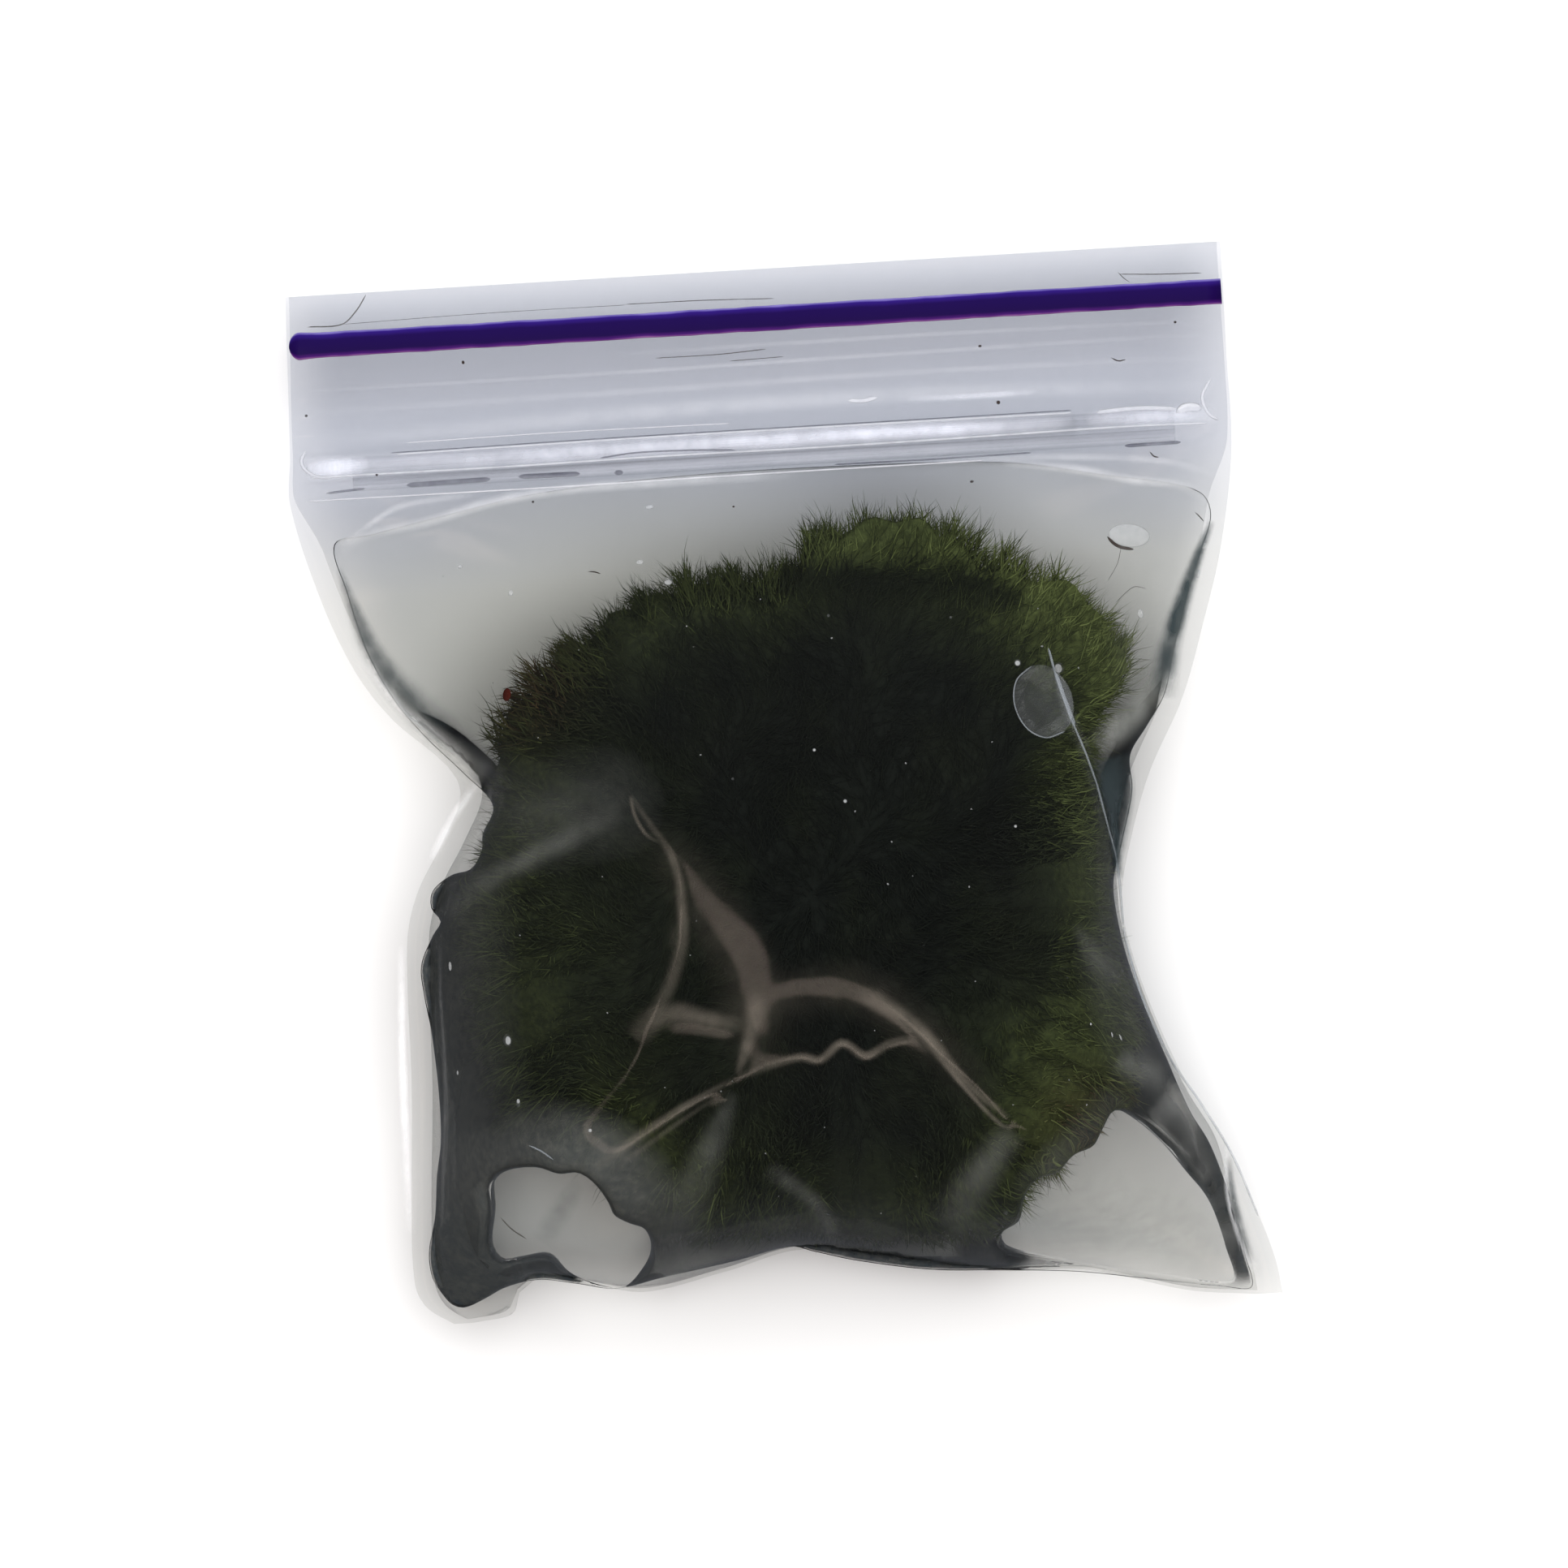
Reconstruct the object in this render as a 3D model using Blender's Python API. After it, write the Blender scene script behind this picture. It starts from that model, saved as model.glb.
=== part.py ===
"""A marimo moss ball sealed with its water in a small clear zip bag, lying on the bag's back wall.

Row frame: metres, +Z up, +X across the bag, +Y from the bottom fold to the lip.
The origin is the centre of the footprint, on the surface that the bag lies on.
All sizes below are in millimetres and are scaled once, when a mesh is made.
"""

import math

import bmesh
import bpy
from mathutils import Matrix, Vector

MM = 0.001

# Driving sizes of the bag: a 76 mm wide bag whose walls are drawn in by the ball.
FILM = 0.2  # wall thickness, so a side seal is twice this
SEAL_WIDTH = 1.6
FOLD_Y = -39.6
FOLD_WIDTH = 0.5  # flat strip along the bottom fold
LIP_Y = 43.0
ZIP_Y = 28.2
ZIP_Z = 7.6
LIP_SLOPE = -0.12  # rise of the flat band per mm towards the lip
FOLD_RADIUS = 8.0  # how far in from the bottom fold the walls reach full height
FOLD_REACH = 30.0  # how far up the bag its grid still follows the fold's waves
FLOOR_GRIP = 1.38  # over 1, the back wall is pressed flat where it meets the surface
BACK_SAG = 1.3  # where it is clear of the surface, the back wall sags this much more than the front rises

# Outline of the bag from above: half-widths drawn in at the ball, and a wavy bottom fold.
LEFT_EDGE = ((-41.5, -29.0), (-40.0, -31.2), (-38.0, -32.1), (-32.0, -32.0), (-22.0, -31.3),
             (-10.0, -30.9), (-6.0, -29.8), (-2.0, -27.5), (1.6, -25.9), (4.0, -26.8), (8.0, -31.0),
             (12.0, -33.8), (18.0, -36.3), (26.0, -38.4), (30.0, -38.2), (LIP_Y, -37.9))
RIGHT_EDGE = ((-43.0, 38.5), (-40.0, 38.0), (-36.0, 36.7), (-30.0, 34.3), (-26.0, 31.9),
              (-20.0, 29.4), (-14.0, 27.6), (-10.0, 27.1), (-6.0, 27.9), (0.0, 29.9), (6.0, 33.0),
              (12.0, 35.1), (18.0, 36.9), (26.0, 38.3), (34.0, 38.4), (LIP_Y, 38.5))
BOTTOM_FOLD = ((-1.0, -41.4), (-0.86, -40.7), (-0.76, -38.2), (-0.62, -38.9), (-0.5, -39.7),
               (-0.28, -38.4), (-0.09, -37.0), (0.1, -38.0), (0.26, -39.2), (0.4, -39.8),
               (0.58, -40.0), (0.82, -42.2), (1.0, -42.9))

# Along the bag: height of the side seams, and of the front wall above them on the middle line.
SEAM_HEIGHT = ((-43.0, 5.4), (-34.0, 7.2), (-22.0, 9.8), (-8.0, 11.0), (6.0, 10.2), (16.0, 8.9),
               (24.0, 8.06))
FRONT_RISE = ((-43.0, 10.0), (-36.0, 14.2), (-28.0, 17.6), (-18.0, 19.2), (-8.0, 19.5),
              (4.0, 18.0), (14.0, 13.2), (20.0, 8.4), (24.0, 4.4), (26.4, 1.6), (28.2, 0.95),
              (31.0, 0.55), (36.0, 0.3), (LIP_Y, 0.3))
# Roundness of a cross-section: 2 is a full arch, and a high value is flat with pressed edges.
SECTION_POWER = ((-43.0, 2.2), (10.0, 2.2), (20.0, 3.2), (26.4, 10.0), (28.2, 24.0), (LIP_Y, 24.0))

# Away from the ball the walls come closer together.
BALL_REACH = (29.0, 31.0, 27.0)  # to the sides, towards the lip and towards the fold
PINCH_RANGE = (0.85, 1.4)  # in shares of that reach
CORNER_PINCH = 0.7
PINCH_FADE = 5.0  # it has faded out this far below the zip

# The ball from above, out to the tips of its fibres, and how thick it is pressed.
MOSS_CENTRE = (2.0, -8.0)
MOSS_OUTLINE = ((22.4, -9.0), (23.2, 0.0), (28.4, 9.6), (25.4, 15.0), (17.6, 20.0), (12.0, 21.6),
                (5.4, 21.2), (1.0, 18.2), (-4.0, 17.6), (-12.4, 15.2), (-20.4, 7.6), (-20.7, 0.0),
                (-24.4, -10.0), (-22.3, -23.5), (-14.0, -30.6), (0.0, -32.6), (8.0, -33.4),
                (14.6, -33.2), (21.6, -28.5), (24.0, -20.0))
MOSS_Z = 12.0
MOSS_TOP = 16.6
MOSS_BOTTOM = 10.4
MOSS_LUMP = 0.7

# Clearances between neighbours, so that every solid stays separate.
WATER_GAP = 0.3  # from the film
WATER_MARGIN = 1.5  # from the side seals, where the walls run together
MOSS_GAP = 0.4  # from the water round it
MOSS_COVER = 1.7  # the ball stays this far inside the film
MOSS_POCKET = 2.4  # the water's pocket is this much wider than the ball's outline
PARTING_GAP = 0.3  # between the two bodies of water

# Every sheet of the bag and of the water is laid on one grid, so that they never cross.
COLUMNS = 20
CROWDING = 0.06  # how much closer the columns stand near the edges
EDGE_COLUMNS = (0.0, SEAL_WIDTH, SEAL_WIDTH + WATER_MARGIN)  # set in from each side edge
GRID_ROWS = (FOLD_Y, FOLD_Y + FOLD_WIDTH, -37.6, -35.6, -33.0, -30.0, -26.5, -23.0, -19.5, -16.0,
             -13.0, -10.5, -8.0, -6.0, -4.0, -2.0, 0.0, 1.6, 3.4, 5.4, 8.0, 11.0, 14.0, 17.0,
             20.0, 22.5, 24.5, 26.4, 28.2, 32.0, LIP_Y)
WATER_ROWS = (2, 26)
MOSS_RINGS = (8, 40)

COLOURS = {
    "clear_film": ((0.78, 0.79, 0.86), 0.15),
    "indigo": ((0.045, 0.012, 0.20), 0.35),
    "water": ((0.62, 0.68, 0.62), 0.05),
    "moss": ((0.035, 0.07, 0.018), 0.95),
}


def along(points, at):
    """Smooth curve through (position, value) points, held level past both ends."""
    if at <= points[0][0]:
        return points[0][1]
    if at >= points[-1][0]:
        return points[-1][1]
    i = max(k for k in range(len(points) - 1) if points[k][0] <= at)

    def slope(k):
        low, high = max(k - 1, 0), min(k + 1, len(points) - 1)
        return (points[high][1] - points[low][1]) / (points[high][0] - points[low][0])

    (x0, y0), (x1, y1) = points[i], points[i + 1]
    span = x1 - x0
    t = (at - x0) / span
    return (
        (1 + 2 * t) * (1 - t) ** 2 * y0
        + t * (1 - t) ** 2 * span * slope(i)
        + t * t * (3 - 2 * t) * y1
        + t * t * (t - 1) * span * slope(i + 1)
    )


def band_height(y):
    """Height of the flat band that carries the zip and ends in the lip."""
    return ZIP_Z + (y - ZIP_Y) * LIP_SLOPE


def seam_height(y):
    return band_height(y) if y > SEAM_HEIGHT[-1][0] else along(SEAM_HEIGHT, y)


def across(x, y, inset=SEAL_WIDTH):
    """Place between two lines set in from the side edges, from -1 on the left to 1."""
    left, right = along(LEFT_EDGE, y) + inset, along(RIGHT_EDGE, y) - inset
    return min(max(2 * (x - left) / (right - left) - 1, -1.0), 1.0)


def plan(column, row):
    """Point (x, y) of the bag's plan at a crossing of its grid."""
    last = len(EDGE_COLUMNS) - 1
    inset = EDGE_COLUMNS[min(column, COLUMNS - column, last)]
    even = min(max((column - last) / (COLUMNS - 2 * last), 0.0), 1.0)
    share = even - CROWDING * math.sin(math.tau * even)
    x, y = 0.0, GRID_ROWS[row]
    past_fold = max(y - FOLD_Y - FOLD_WIDTH, 0.0) / FOLD_REACH
    wave = max(1 - past_fold ** 2, 0.0) ** 2
    for _ in range(4):
        y = GRID_ROWS[row] + (along(BOTTOM_FOLD, across(x, y)) - FOLD_Y) * wave
        left, right = along(LEFT_EDGE, y) + inset, along(RIGHT_EDGE, y) - inset
        x = left + share * (right - left)
    return x, y


def off_the_ball(x, y):
    """0 where the ball lifts the walls, rising to 1 in the corners, where nothing holds them apart."""
    reach_x, reach_up, reach_down = BALL_REACH
    dx, dy = x - MOSS_CENTRE[0], y - MOSS_CENTRE[1]
    away = math.hypot(dx / reach_x, dy / (reach_up if dy > 0 else reach_down))
    start, end = PINCH_RANGE
    t = min(max((away - start) / (end - start), 0.0), 1.0)
    below_zip = min(max((ZIP_Y - PINCH_FADE - y) / PINCH_FADE, 0.0), 1.0)
    return t * t * (3 - 2 * t) * below_zip


def fullness(x, y, inset):
    """How much of the middle line's height a wall keeps at (x, y): 0 at the seams and fold."""
    arch = max(1 - abs(across(x, y, inset)) ** along(SECTION_POWER, y), 0.0) ** 0.6
    past_fold = y - along(BOTTOM_FOLD, across(x, y)) - FOLD_WIDTH - (inset - SEAL_WIDTH)
    turn = 1 - min(max(past_fold, 0.0) / FOLD_RADIUS, 1.0)
    return arch * math.sqrt(1 - turn ** 2) * (1 - CORNER_PINCH * off_the_ball(x, y))


def front_wall(x, y, inset=SEAL_WIDTH):
    """Height of the front wall's outside."""
    return seam_height(y) + FILM + along(FRONT_RISE, y) * fullness(x, y, inset)


def back_wall(x, y, inset=SEAL_WIDTH):
    """Height of the back wall's outside, pressed flat where it meets the surface below."""
    seam = seam_height(y)
    drop = min(seam * FLOOR_GRIP, along(FRONT_RISE, y) * BACK_SAG)
    return max(seam - FILM - drop * fullness(x, y, inset), 0.0)


def sheet(wall, depth, columns, rows):
    """Grid of points that lie a depth inside a wall, square to it."""
    inward = -1.0 if wall is front_wall else 1.0
    step = 0.05

    def point(column, row):
        x, y = plan(column, row)
        z = wall(x, y)
        fall_x = wall(x - step, y) - wall(x + step, y)
        fall_y = wall(x, y - step) - wall(x, y + step)
        upright = Vector((fall_x, fall_y, 2 * step)).normalized()
        return Vector((x, y, z)) + upright * depth * inward

    return [[point(column, row) for column in columns] for row in rows]


def new_object(name, mesh_maker, colour, collection):
    """Makes the named object from a bmesh in millimetres, with its outside found."""
    mesh = bpy.data.meshes.new(name)
    bm = mesh_maker()
    bmesh.ops.remove_doubles(bm, verts=bm.verts, dist=0.001)
    bmesh.ops.recalc_face_normals(bm, faces=bm.faces)
    bmesh.ops.scale(bm, vec=(MM, MM, MM), verts=bm.verts)
    bm.to_mesh(mesh)
    bm.free()
    mesh.shade_smooth()
    mesh.set_sharp_from_angle(angle=math.radians(70))
    mesh.materials.append(colour)
    obj = bpy.data.objects.new(name, mesh)
    collection.objects.link(obj)
    return obj


def skin(bm, grid):
    """Two triangles in each opening of a grid of vertices. Its halves are split as mirror images."""
    middle = (len(grid[0]) - 1) // 2
    for row, upper in zip(grid, grid[1:]):
        for k in range(len(row) - 1):
            a, b, c, d = row[k], row[k + 1], upper[k + 1], upper[k]
            for corners in ((a, b, c), (a, c, d)) if k < middle else ((a, b, d), (b, c, d)):
                if len(set(corners)) == 3:
                    bm.faces.new(corners)


def vertices(bm, grid):
    return [[bm.verts.new(point) for point in row] for row in grid]


def pillow(upper_grid, lower_grid):
    """Closed solid between two grids of points that have the same outline."""
    bm = bmesh.new()
    upper, lower = vertices(bm, upper_grid), vertices(bm, lower_grid)
    skin(bm, upper)
    skin(bm, lower)
    skin(bm, [upper[0], lower[0]])
    skin(bm, [upper[-1], lower[-1]])
    for k in (0, -1):
        skin(bm, [[row[k] for row in upper], [row[k] for row in lower]])
    return bm


def bag_shape():
    """The bag in one skin: both walls, the side seals and the bottom fold, open at the lip."""
    bm = bmesh.new()
    columns, rows = range(COLUMNS + 1), range(len(GRID_ROWS))
    outside = [vertices(bm, sheet(wall, 0.0, columns, rows)) for wall in (front_wall, back_wall)]
    inside = [vertices(bm, sheet(wall, FILM, columns[2:-2], rows[2:])) for wall in (front_wall, back_wall)]

    def seam_vertex(column, row):
        x, y = plan(column, row)
        return bm.verts.new((x, y, seam_height(y)))

    left = [seam_vertex(1, row) for row in rows[1:]]
    right = [seam_vertex(COLUMNS - 1, row) for row in rows[1:]]
    fold = left[:1] + [seam_vertex(column, 1) for column in columns[2:-2]] + right[:1]
    for outer, hollow in zip(outside, inside):
        lined = [fold] + [[a] + row + [b] for a, row, b in zip(left[1:], hollow, right[1:])]
        skin(bm, outer)
        skin(bm, lined)
        skin(bm, [outer[-1], outer[-1][:1] + lined[-1] + outer[-1][-1:]])
    front, back = outside
    skin(bm, [front[0], back[0]])
    for edge, seam in ((0, left), (-1, right)):
        skin(bm, [[row[edge] for row in front], [row[edge] for row in back]])
        bm.faces.new((front[-1][edge], seam[-1], back[-1][edge]))
    return bm


def moss_radius(angle):
    """Distance from the ball's centre to its outline, in a direction."""
    polar = sorted(
        (math.atan2(y - MOSS_CENTRE[1], x - MOSS_CENTRE[0]) % math.tau,
         math.hypot(x - MOSS_CENTRE[0], y - MOSS_CENTRE[1]))
        for x, y in MOSS_OUTLINE
    )
    wrapped = [(a - math.tau, r) for a, r in polar[-2:]] + polar + [(a + math.tau, r) for a, r in polar[:2]]
    return along(wrapped, angle % math.tau)


def moss_share(x, y, grow=0.0):
    """Share of the way from the ball's centre to its outline."""
    dx, dy = x - MOSS_CENTRE[0], y - MOSS_CENTRE[1]
    return math.hypot(dx, dy) / (moss_radius(math.atan2(dy, dx)) + grow)


def moss_swell(share):
    return max(1 - share ** 2.6, 0.0) ** 0.55


def moss_lumps(x, y):
    """Soft lumps of the pressed ball."""
    return MOSS_LUMP * (math.sin(x * 0.42 + 1.1) * math.cos(y * 0.37) + math.sin((x + y) * 0.21))


def moss_front(x, y, grow=0.0):
    """Height of the ball's upper side, kept inside the bag."""
    share = moss_share(x, y, grow)
    height = MOSS_Z + (MOSS_TOP + moss_lumps(x, y)) * moss_swell(share) + grow * 0.4
    return min(height, front_wall(x, y, SEAL_WIDTH + MOSS_COVER) - MOSS_COVER + grow * 0.25)


def moss_back(x, y, grow=0.0):
    """Height of the ball's underside."""
    share = moss_share(x, y, grow)
    height = MOSS_Z - MOSS_BOTTOM * moss_swell(share) - grow * 0.4
    return max(height, back_wall(x, y, SEAL_WIDTH + MOSS_COVER) + MOSS_COVER - grow * 0.25)


def moss_shape():
    """Rings of vertices over and under the pressed ball, from its poles to its outline."""
    bm = bmesh.new()
    rings, spokes = MOSS_RINGS
    centre = MOSS_CENTRE
    poles = [bm.verts.new((*centre, moss_front(*centre))), bm.verts.new((*centre, moss_back(*centre)))]
    sides = []
    for surface in (moss_front, moss_back):
        circles = []
        for ring in range(1, rings + 1):
            share = math.sin(ring / rings * math.pi / 2)
            circle = []
            for spoke in range(spokes):
                angle = spoke / spokes * math.tau
                reach = moss_radius(angle) * share
                x, y = centre[0] + reach * math.cos(angle), centre[1] + reach * math.sin(angle)
                circle.append(bm.verts.new((x, y, surface(x, y))))
            circles.append(circle + circle[:1])
        sides.append(circles)
    for pole, circles in zip(poles, sides):
        for k in range(spokes):
            bm.faces.new((pole, circles[0][k], circles[0][k + 1]))
        skin(bm, circles)
    skin(bm, [sides[0][-1], sides[1][-1]])
    return bm


def water(collection, colour):
    """The water round the ball, parted at the seams into an upper and a lower body."""
    columns, rows = range(2, COLUMNS - 1), range(*WATER_ROWS)
    half = PARTING_GAP / 2
    depth = FILM + WATER_GAP

    def body(wall, ball_side, gap, side):
        """Water between a wall and the ball. The side is 1 above the seams and -1 below."""
        outer = sheet(wall, depth, columns, rows)
        inner = []
        for row in outer:
            line = []
            for point in row:
                parting = seam_height(point.y) + side * half
                point.z = side * max(side * point.z, side * parting + half)
                ball = ball_side(point.x, point.y, MOSS_POCKET) + side * gap
                reach = min(side * ball, side * point.z - half)
                line.append(Vector((point.x, point.y, side * max(reach, side * parting))))
            inner.append(line)
        return pillow(outer, inner) if side > 0 else pillow(inner, outer)

    new_object("water_upper", lambda: body(front_wall, moss_front, MOSS_GAP, 1), colour, collection)
    new_object("water_lower", lambda: body(back_wall, moss_back, MOSS_GAP, -1), colour, collection)


def rail(name, section, length, colour, collection):
    """A straight extrusion across the bag. Its section is (along the bag, height) in millimetres."""

    def shape():
        bm = bmesh.new()
        face = bm.faces.new([bm.verts.new((-length / 2, y, z)) for y, z in section])
        moved = bmesh.ops.extrude_face_region(bm, geom=[face])["geom"]
        tips = [v for v in moved if isinstance(v, bmesh.types.BMVert)]
        bmesh.ops.translate(bm, vec=(length, 0, 0), verts=tips)
        return bm

    return new_object(name, shape, colour, collection)


def place_on_band(obj, x, y, lift):
    """Lays an object on the sloping band, lift above its middle plane."""
    tilt = math.atan(LIP_SLOPE)
    offset = Vector((0, -math.sin(tilt), math.cos(tilt))) * lift
    obj.matrix_world = Matrix.Translation((Vector((x, y, band_height(y))) + offset) * MM) @ Matrix.Rotation(
        tilt, 4, "X"
    )


def zip_rails(collection, colour):
    """The rib on the front wall and the channel on the back wall that it snaps into."""
    length = 67.0
    channel = ((-1.3, -0.7), (1.3, -0.7), (1.3, 0.2), (0.62, 0.2), (0.62, 0.02), (0.9, 0.02),
               (0.9, -0.45), (-0.9, -0.45), (-0.9, 0.02), (-0.62, 0.02), (-0.62, 0.2), (-1.3, 0.2))
    rib = ((-1.3, 0.38), (-0.35, 0.38), (-0.35, -0.1), (-0.6, -0.1), (-0.3, -0.36), (0.3, -0.36),
           (0.6, -0.1), (0.35, -0.1), (0.35, 0.38), (1.3, 0.38), (1.3, 0.66), (-1.3, 0.66))
    place_on_band(rail("zip_channel", channel, length, colour, collection), 0.3, ZIP_Y, 0.0)
    place_on_band(rail("zip_rib", rib, length, colour, collection), 0.3, ZIP_Y, 0.0)


def lip_stripe(collection, colour):
    """The coloured bead along the front lip, melted to a blob at its left end."""
    width, thickness, y = 1.8, 0.36, 38.9
    left, right = -37.4, 38.1

    def shape():
        bm = bmesh.new()
        bar = bmesh.ops.create_cube(bm, size=1.0)["verts"]
        bmesh.ops.scale(bm, vec=(right - left, width, thickness), verts=bar)
        bmesh.ops.translate(bm, vec=((left + right) / 2, 0, 0), verts=bar)
        long_edges = [e for e in bm.edges if abs(e.verts[0].co.x - e.verts[1].co.x) > 1]
        bmesh.ops.bevel(bm, geom=long_edges, offset=0.12, segments=2, affect="EDGES", profile=0.5)
        return bm

    stripe = new_object("lip_stripe", shape, colour, collection)
    place_on_band(stripe, 0.0, y, FILM + 0.3 + thickness / 2 + 0.1)


def material(name):
    colour, roughness = COLOURS[name]
    made = bpy.data.materials.new(name)
    made.use_nodes = True
    shader = made.node_tree.nodes["Principled BSDF"]
    shader.inputs["Base Color"].default_value = (*colour, 1.0)
    shader.inputs["Roughness"].default_value = roughness
    shader.inputs["Metallic"].default_value = 0.0
    made.diffuse_color = (*colour, 1.0)
    return made


def collection_named(name):
    made = bpy.data.collections.new(name)
    bpy.context.scene.collection.children.link(made)
    return made


def main():
    for obj in list(bpy.data.objects):
        bpy.data.objects.remove(obj)
    bag = collection_named("bagged_moss_ball")
    paint = {name: material(name) for name in COLOURS}
    new_object("bag_film", bag_shape, paint["clear_film"], bag)
    zip_rails(bag, paint["clear_film"])
    lip_stripe(bag, paint["indigo"])
    water(bag, paint["water"])
    new_object("moss_ball", moss_shape, paint["moss"], bag)


main()
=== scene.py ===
"""Looks of the marimo moss ball in its zip bag: creased film, water with bubbles, moss fibres, zip and lip.

The bag's outline and walls repeat the driving dimensions of the CAD part, so every piece here follows its solid.
Sizes and places are in millimetres in the part's row frame, and are scaled once, when a mesh is made.
"""

import math

import bmesh
import bpy
import numpy as np
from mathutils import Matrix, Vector
from mathutils.geometry import delaunay_2d_cdt


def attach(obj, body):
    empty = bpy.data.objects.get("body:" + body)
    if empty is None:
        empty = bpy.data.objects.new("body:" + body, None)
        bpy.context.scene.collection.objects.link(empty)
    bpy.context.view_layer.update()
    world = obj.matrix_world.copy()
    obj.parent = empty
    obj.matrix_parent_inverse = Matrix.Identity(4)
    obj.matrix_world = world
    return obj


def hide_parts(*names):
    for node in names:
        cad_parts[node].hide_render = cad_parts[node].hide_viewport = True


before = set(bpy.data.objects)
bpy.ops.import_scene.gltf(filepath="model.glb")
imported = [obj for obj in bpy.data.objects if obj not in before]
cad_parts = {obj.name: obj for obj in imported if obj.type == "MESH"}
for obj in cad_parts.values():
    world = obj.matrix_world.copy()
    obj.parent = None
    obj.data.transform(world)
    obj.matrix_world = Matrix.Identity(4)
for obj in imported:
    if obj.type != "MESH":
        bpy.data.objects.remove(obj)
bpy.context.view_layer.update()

MM = 0.001


# ---------------------------------------------------------------- tables
def rows(text):
    """Rows of numbers, with commas between the rows."""
    return [tuple(map(float, row.split())) for row in text.split(",")]


def strokes(text):
    """Strokes, as (points, sizes ...), from 'sizes: points' with semicolons between the strokes."""
    parts = [stroke.split(":") for stroke in text.split(";")]
    return [(rows(line), *map(float, sizes.split())) for sizes, line in parts]


# ---------------------------------------------------------------- driving dimensions of the CAD part
FOLD_Y, LIP_Y = -39.6, 43.0
ZIP_Y, ZIP_Z, LIP_SLOPE = 28.2, 7.6, -0.12
FOLD_RADIUS, FOLD_REACH = 8.0, 30.0
FLOOR_GRIP = 1.38
LEFT_EDGE = rows("""
    -41.5 -29, -40 -31.2, -38 -32.1, -32 -32, -22 -31.3, -10 -30.9, -6 -29.8, -2 -27.5, 1.6 -25.9, 4 -26.8, 8 -31,
    12 -33.8, 18 -36.3, 26 -38.4, 30 -38.2, 43 -37.9""")
RIGHT_EDGE = rows("""
    -43 38.5, -40 38, -36 36.7, -30 34.3, -26 31.9, -20 29.4, -14 27.6, -10 27.1, -6 27.9, 0 29.9, 6 33, 12 35.1,
    18 36.9, 26 38.3, 34 38.4, 43 38.5""")
BOTTOM_FOLD = rows("""
    -1 -41.4, -0.86 -40.7, -0.76 -38.2, -0.62 -38.9, -0.5 -39.7, -0.28 -38.4, -0.09 -37, 0.1 -38, 0.26 -39.2,
    0.4 -39.8, 0.58 -40, 0.82 -42.2, 1 -42.9""")
SEAM_HEIGHT = rows("-43 5.4, -34 7.2, -22 9.8, -8 11, 6 10.2, 16 8.9, 24 8.06")
FRONT_TOP = rows("""
    -43 15.4, -36 20.8, -28 26.5, -23.4 28.97, -22.8 29.25, -22.2 29.52, -21.6 29.72, -21 29.86, -20.4 29.95,
    -19.6 30, -14 30.3, -8 30.3, 4 27, 10 23.4, 16 18.6, 20 15.2, 24 11.7, 26.4 9.7, 28.2 8.6, 31 7.81, 36 6.96,
    43 6.12""")
# Height of the back wall's middle line towards the zip.
BACK_RISE = rows("-43 0, 0 0, 5 0.35, 10 1.3, 16 3, 20 4.3, 24 5.7, 26.4 6.5, 28.2 7, 31 6.9, 36 6.3, 43 5.5")
SECTION_POWER = rows("-43 3.6, -30 4.2, -2 4.2, 8 2.6, 20 2.4, 26.4 10, 28.2 24, 43 24")
BALL_REACH = (29.0, 31.0, 27.0)
PINCH_RANGE, CORNER_PINCH, PINCH_FADE = (0.9, 1.5), 0.45, 5.0
MOSS_CENTRE, MOSS_Z, MOSS_TOP, MOSS_BOTTOM = (2.0, -8.0), 12.0, 16.6, 10.4

# The flat top ends on the left in a sharp bend, by y, and at the bottom in a wavy one, by x.
LEFT_BEND = rows("""
    -43 -8, -36 -14, -29 -17, -25 -15.4, -20 -12.4, -15.7 -10.4, -13.4 -9.2, -10.8 -8.4, -8.1 -8.3, -5.6 -8.5,
    -3.2 -9.4, -1.6 -10.3, 0.5 -11.7, 3 -12, 7 -8, 12 0.3, 43 0.3""")
LEFT_POWER = rows("""
    -43 3.6, -31 2.4, -26 2.1, -23 1.7, -20 1.36, -12 1.34, -2 1.36, 1 1.5, 5 2, 10 2.4, 20 2.4, 26.4 10, 28.2 24,
    43 24""")
RIGHT_BEND = 0.3
SEAM_POWER = rows("-43 0.7, -4 0.66, 8 0.9, 24 1, 43 1")  # how bluntly walls end at the seams
BACK_POWER = rows("-43 2.4, 10 2.4, 20 3.2, 26.4 10, 28.2 24, 43 24")
LOWER_BEND = rows("""
    -24 -31, -17.4 -29.3, -13.6 -26.9, -9.5 -24.5, -7.5 -23.5, -4.9 -22.3, -3.4 -21.7, -1.7 -21.2, 0.4 -20.8,
    1.9 -21.2, 3.7 -19.9, 5.5 -21.1, 7.4 -20.3, 9.1 -20.1, 10.3 -20.9, 13 -22.8, 16.9 -27, 20 -29.6, 24 -31""")
LOWER_BEND_Y = -21.0
BEND_FADES = ((-16.0, -8.0), (-40.0, -34.0))  # the wavy bend shifts the profile between these

# ---------------------------------------------------------------- film
FILM = 0.12
# Soft streaks: thickness, how far they spread, how quickly they fade to their sides and ends, and their points.
RIBBON, SPREAD, FEATHER, END_FEATHER, RIBBON_SPACING = 0.02, 1.35, 3.2, 0.7, 0.4
TUBE_SPACING = 0.25
FOLD_WIDTH = 0.3
LEFT_SEAL = rows("-43 1.6, 22 1.6, 27 0.35, 43 0.3")
RIGHT_SEAL = rows("-43 2, -36 1.8, -30 0.6, -26 0.3, -10 0.3, -6 1, 0 1.6, 22 1.6, 27 0.35, 43 0.3")
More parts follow.
